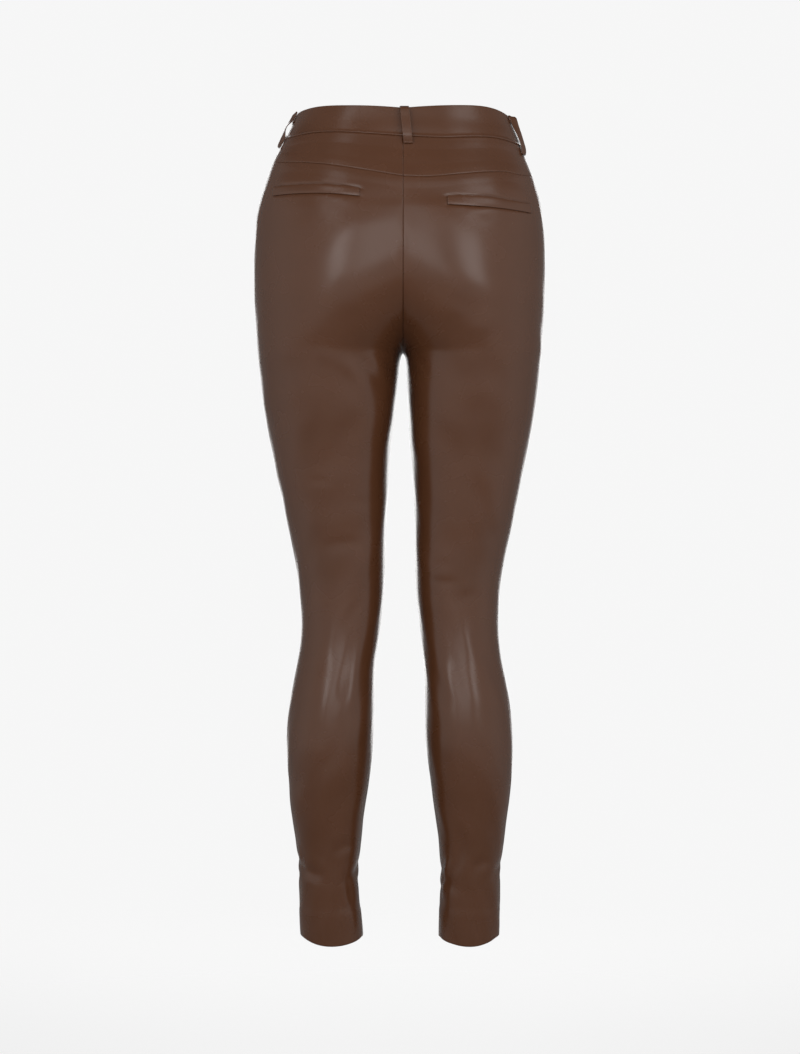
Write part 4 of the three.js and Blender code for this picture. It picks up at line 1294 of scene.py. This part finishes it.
def belt_loop(loop):
    """One belt loop as a closed tube along its path."""
    side = loop["side"]
    along, height, twist = loop_path(loop)
    drop = loop["top"] + (loop["low"] - loop["top"]) * along
    centre = np.radians(loop["angle"] + loop["lean"] * along)
    point, normal = ring_point(side, centre, drop), skin_normal(side, centre, drop)
    spine = point + normal * (height + LOOP_THICK / 2)[:, None]
    across = ring_point(side, centre + TURN, drop) - ring_point(side, centre - TURN, drop)
    across = across / length(across)[:, None] - normal * twist[:, None]
    across = across / length(across)[:, None]
    run = np.gradient(spine, axis=0)
    run = run / length(run)[:, None]
    lift = np.cross(across, run)
    lift = lift / length(lift)[:, None]
    wide, thick = section_ring()
    rings = spine[:, None] + across[:, None] * (wide * LOOP_WIDE)[None, :, None]
    rings = side_points(side, rings + lift[:, None] * (thick * LOOP_THICK)[None, :, None])
    return tube(loop["node"] + "_strip", rings)


def tube(name, rings):
    """A closed tube through rings of points, with a cap of its own at each end."""
    stations, around = rings.shape[:2]
    caps = rings[[0, -1]].mean(axis=1)
    points = np.concatenate([rings.reshape(-1, 3), caps]) * MM
    index = np.arange(stations * around).reshape(stations, around)
    following = np.roll(index, -1, axis=1)
    walls = np.stack([index[:-1], following[:-1], following[1:], index[1:]], axis=-1).reshape(-1, 4)
    first = [[int(following[0, k]), int(index[0, k]), stations * around] for k in range(around)]
    last = [[int(index[-1, k]), int(following[-1, k]), stations * around + 1] for k in range(around)]
    mesh = bpy.data.meshes.new(name)
    mesh.from_pydata(points.tolist(), [], walls.tolist() + first + last)
    girth = np.linspace(0, 0.024, around)
    down = np.concatenate([[0], np.cumsum(length(np.diff(rings[:, 0], axis=0)))]) * MM
    layout = np.stack(np.broadcast_arrays(girth[None, :], down[:, None]), axis=-1).reshape(-1, 2)
    layout = np.concatenate([layout, [[0.012, 0], [0.012, down[-1]]]])
    chart = mesh.uv_layers.new(name="cloth")
    corners = np.zeros(len(mesh.loops), np.int32)
    mesh.loops.foreach_get("vertex_index", corners)
    chart.data.foreach_set("uv", layout[corners].reshape(-1).astype(np.float32))
    piece = bpy.data.objects.new(name, mesh)
    scene.collection.objects.link(piece)
    only(piece)
    bpy.ops.object.mode_set(mode="EDIT")
    bpy.ops.mesh.select_all(action="SELECT")
    bpy.ops.mesh.normals_make_consistent(inside=False)
    bpy.ops.object.mode_set(mode="OBJECT")
    bpy.ops.object.shade_smooth_by_angle(angle=math.radians(50))
    return piece


for loop in LOOPS:
    strip = dress(belt_loop(loop), loop["node"])

# %% [markdown]
# Thread is one stitch, modelled once as a thin bent rod and copied along a line. A row of it shows where
# the fly is sewn down, in a J on the right front.

# %% Stitches
STITCH_LONG = 2.7
STITCH_GAP = 0.9
THREAD_RADIUS = 0.26
THREAD_COLOUR = (0.034, 0.0125, 0.006, 1)


def thread_finish():
    """Matt brown sewing thread."""
    finish = bpy.data.materials.new("thread_dark_brown")
    finish.use_nodes = True
    body = finish.node_tree.nodes["Principled BSDF"]
    body.inputs["Base Color"].default_value = THREAD_COLOUR
    body.inputs["Roughness"].default_value = 0.6
    return finish


def one_stitch():
    """Rings of a stitch that lies along x and dips into the cloth at both ends."""
    along = np.linspace(-1, 1, 7)
    turn = 2 * math.pi * np.arange(6) / 6
    spine = np.stack([along * STITCH_LONG / 2, 0 * along, -0.34 * along**4], axis=-1)
    ring = np.stack([0 * turn, np.cos(turn), np.sin(turn)], axis=-1) * THREAD_RADIUS
    return spine[:, None] + ring[None]


STITCH = one_stitch()
thread = thread_finish()


def sew(name, places, runs, normals, long=STITCH_LONG):
    """Copies of the stitch at places, along their runs, joined into one row."""
    rings, around = STITCH.shape[:2]
    index = np.arange(rings * around).reshape(rings, around)
    following = np.roll(index, -1, axis=1)
    walls = np.stack([index[:-1], following[:-1], following[1:], index[1:]], axis=-1).reshape(-1, 4)
    points, faces = [], []
    for k, (place, run, normal) in enumerate(zip(places, runs, normals)):
        run = run / length(run)
        beside = np.cross(normal, run)
        turned = np.stack([run * long / STITCH_LONG, beside, normal])
        points.append(place + STITCH.reshape(-1, 3) @ turned)
        first = k * rings * around
        faces += (walls + first).tolist()
        faces += [(index[0][::-1] + first).tolist(), (index[-1] + first).tolist()]
    mesh = bpy.data.meshes.new(name)
    mesh.from_pydata((np.concatenate(points) * MM).tolist(), [], faces)
    mesh.materials.append(thread)
    row = bpy.data.objects.new(name, mesh)
    scene.collection.objects.link(row)
    only(row)
    bpy.ops.object.shade_smooth()
    return row


def even_places(line, spacing):
    """Places at even spacing along a line of points, with the direction of the line there."""
    steps = np.concatenate([[0], np.cumsum(length(np.diff(line, axis=0)))])
    wanted = np.arange(spacing, steps[-1] - spacing / 2, spacing)
    places = np.stack([np.interp(wanted, steps, line[:, k]) for k in range(3)], axis=-1)
    ahead = np.stack([np.interp(wanted + 0.5, steps, line[:, k]) for k in range(3)], axis=-1)
    return places, ahead - places


def fly_line():
    """The J of the fly: straight down beside the edge of the fly, then round to the middle seam."""
    down = np.linspace(46, FLY_LOW - 30, 40)
    bend = np.radians(np.linspace(0, 90, 16))[1:]
    across = np.concatenate([np.full(len(down), FLY_WIDE - 3.0), (FLY_WIDE - 3.0) * np.cos(bend) + 1.2])
    drop = np.concatenate([down, FLY_LOW - 30 + 26 * np.sin(bend)])

    def past(angle):
        return ring_point("right", angle, drop)[..., 0] > across

    low, high = np.full(drop.shape, math.radians(-130)), np.full(drop.shape, math.radians(-40))
    angle = turn_where(past, low, high)
    point, normal = ring_point("right", angle, drop), skin_normal("right", angle, drop)
    return side_points("right", point), side_points("right", normal)


line, facing = fly_line()
places, runs = even_places(line + facing * (FLY_HIGH + 0.45), STITCH_LONG + STITCH_GAP)
front_facing = np.array([facing[np.argmin(length(line - place))] for place in places])
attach(sew("fly_stitching", places, runs, front_facing), "root")
print(len(places), "stitches on the fly")

# %% [markdown]
# The button closes the lap of the waistband at the front. It starts as a cylinder, its face is inset and
# sunk to leave a rim, the rim is bevelled, and four holes are cut through it.

# %% Waist button
BUTTON_RADIUS = 8.5
BUTTON_HIGH = 3.0
BUTTON_RIM = 1.6
BUTTON_SINK = 0.9
BUTTON_DROP = 23
BUTTON_ACROSS = 7
HOLE_RADIUS = 0.95
HOLE_PLACE = 1.75


def horn_finish():
    """Brown button plastic with faint streaks, as horn has."""
    finish = bpy.data.materials.new("button_horn_brown")
    finish.use_nodes = True
    tree = finish.node_tree
    body = tree.nodes["Principled BSDF"]
    place = tree.nodes.new("ShaderNodeTexCoord")
    streaks = tree.nodes.new("ShaderNodeTexNoise")
    streaks.inputs["Scale"].default_value = 260
    streaks.inputs["Distortion"].default_value = 1.2
    tint = tree.nodes.new("ShaderNodeMix")
    tint.data_type = "RGBA"
    tint.inputs["A"].default_value = (0.035, 0.014, 0.007, 1)
    tint.inputs["B"].default_value = (0.085, 0.042, 0.024, 1)
    tree.links.new(place.outputs["Object"], streaks.inputs["Vector"])
    tree.links.new(streaks.outputs["Fac"], tint.inputs["Factor"])
    tree.links.new(tint.outputs["Result"], body.inputs["Base Color"])
    body.inputs["Roughness"].default_value = 0.28
    body.inputs["Coat Weight"].default_value = 0.3
    body.inputs["Coat Roughness"].default_value = 0.12
    return finish


def select_faces(piece, wanted):
    """Selects the faces of a piece in edit mode that pass a test."""
    bpy.ops.object.mode_set(mode="OBJECT")
    for face in piece.data.polygons:
        face.select = wanted(face)
    bpy.ops.object.mode_set(mode="EDIT")


def button_blank():
    """The button lying flat at the origin, facing up."""
    bpy.ops.mesh.primitive_cylinder_add(vertices=48, radius=BUTTON_RADIUS * MM, depth=BUTTON_HIGH * MM)
    blank = bpy.context.object
    blank.name = "waist_button_horn"
    bpy.ops.object.mode_set(mode="EDIT")
    bpy.ops.mesh.select_mode(type="FACE")
    bpy.ops.mesh.select_all(action="DESELECT")
    select_faces(blank, lambda face: face.normal.z > 0.9)
    bpy.ops.mesh.inset(thickness=BUTTON_RIM * MM, depth=0)
    bpy.ops.mesh.inset(thickness=0.5 * MM, depth=-BUTTON_SINK * MM)
    bpy.ops.object.mode_set(mode="OBJECT")
    for k in range(4):
        turn = math.radians(45 + 90 * k)
        place = (HOLE_PLACE * MM * math.cos(turn), HOLE_PLACE * MM * math.sin(turn), 0)
        bpy.ops.mesh.primitive_cylinder_add(vertices=16, radius=HOLE_RADIUS * MM, depth=8 * MM, location=place)
        drill = bpy.context.object
        only(blank)
        cut = blank.modifiers.new("hole", "BOOLEAN")
        cut.operation = "DIFFERENCE"
        cut.object = drill
        bpy.ops.object.modifier_apply(modifier=cut.name)
        bpy.data.objects.remove(drill)
    only(blank)
    soften = blank.modifiers.new("soften", "BEVEL")
    soften.width = 0.28 * MM
    soften.segments = 3
    soften.limit_method = "ANGLE"
    soften.angle_limit = math.radians(40)
    bpy.ops.object.modifier_apply(modifier=soften.name)
    bpy.ops.object.shade_smooth_by_angle(angle=math.radians(35))
    return blank


def button_seat():
    """The button's middle and its outward, rightward and upward directions."""
    def past(angle):
        return ring_point("left", angle, BUTTON_DROP)[..., 0] > BUTTON_ACROSS

    angle = turn_where(past, math.radians(-100), math.radians(-60))
    point, normal = ring_point("left", angle, BUTTON_DROP), skin_normal("left", angle, BUTTON_DROP)
    right = np.cross([0, 0, 1], normal)
    right = right / length(right)
    return point, normal, right, np.cross(normal, right)


seat, outward, rightward, upward = button_seat()
BUTTON_BASE = BAND_PROUD + BAND_THICK + 0.5 + 0.55
button = button_blank()
turned = Matrix((rightward, upward, outward)).transposed().to_4x4()
middle = Vector((seat + outward * (BUTTON_BASE + BUTTON_HIGH / 2)) * MM)
button.data.transform(Matrix.Translation(middle) @ turned)
horn = horn_finish()
dress(button, "waist_button", slot="button", finish=horn)

# %% [markdown]
# Last, the scene is brought up to date.

# %% Bring the scene up to date
bpy.context.view_layer.update()
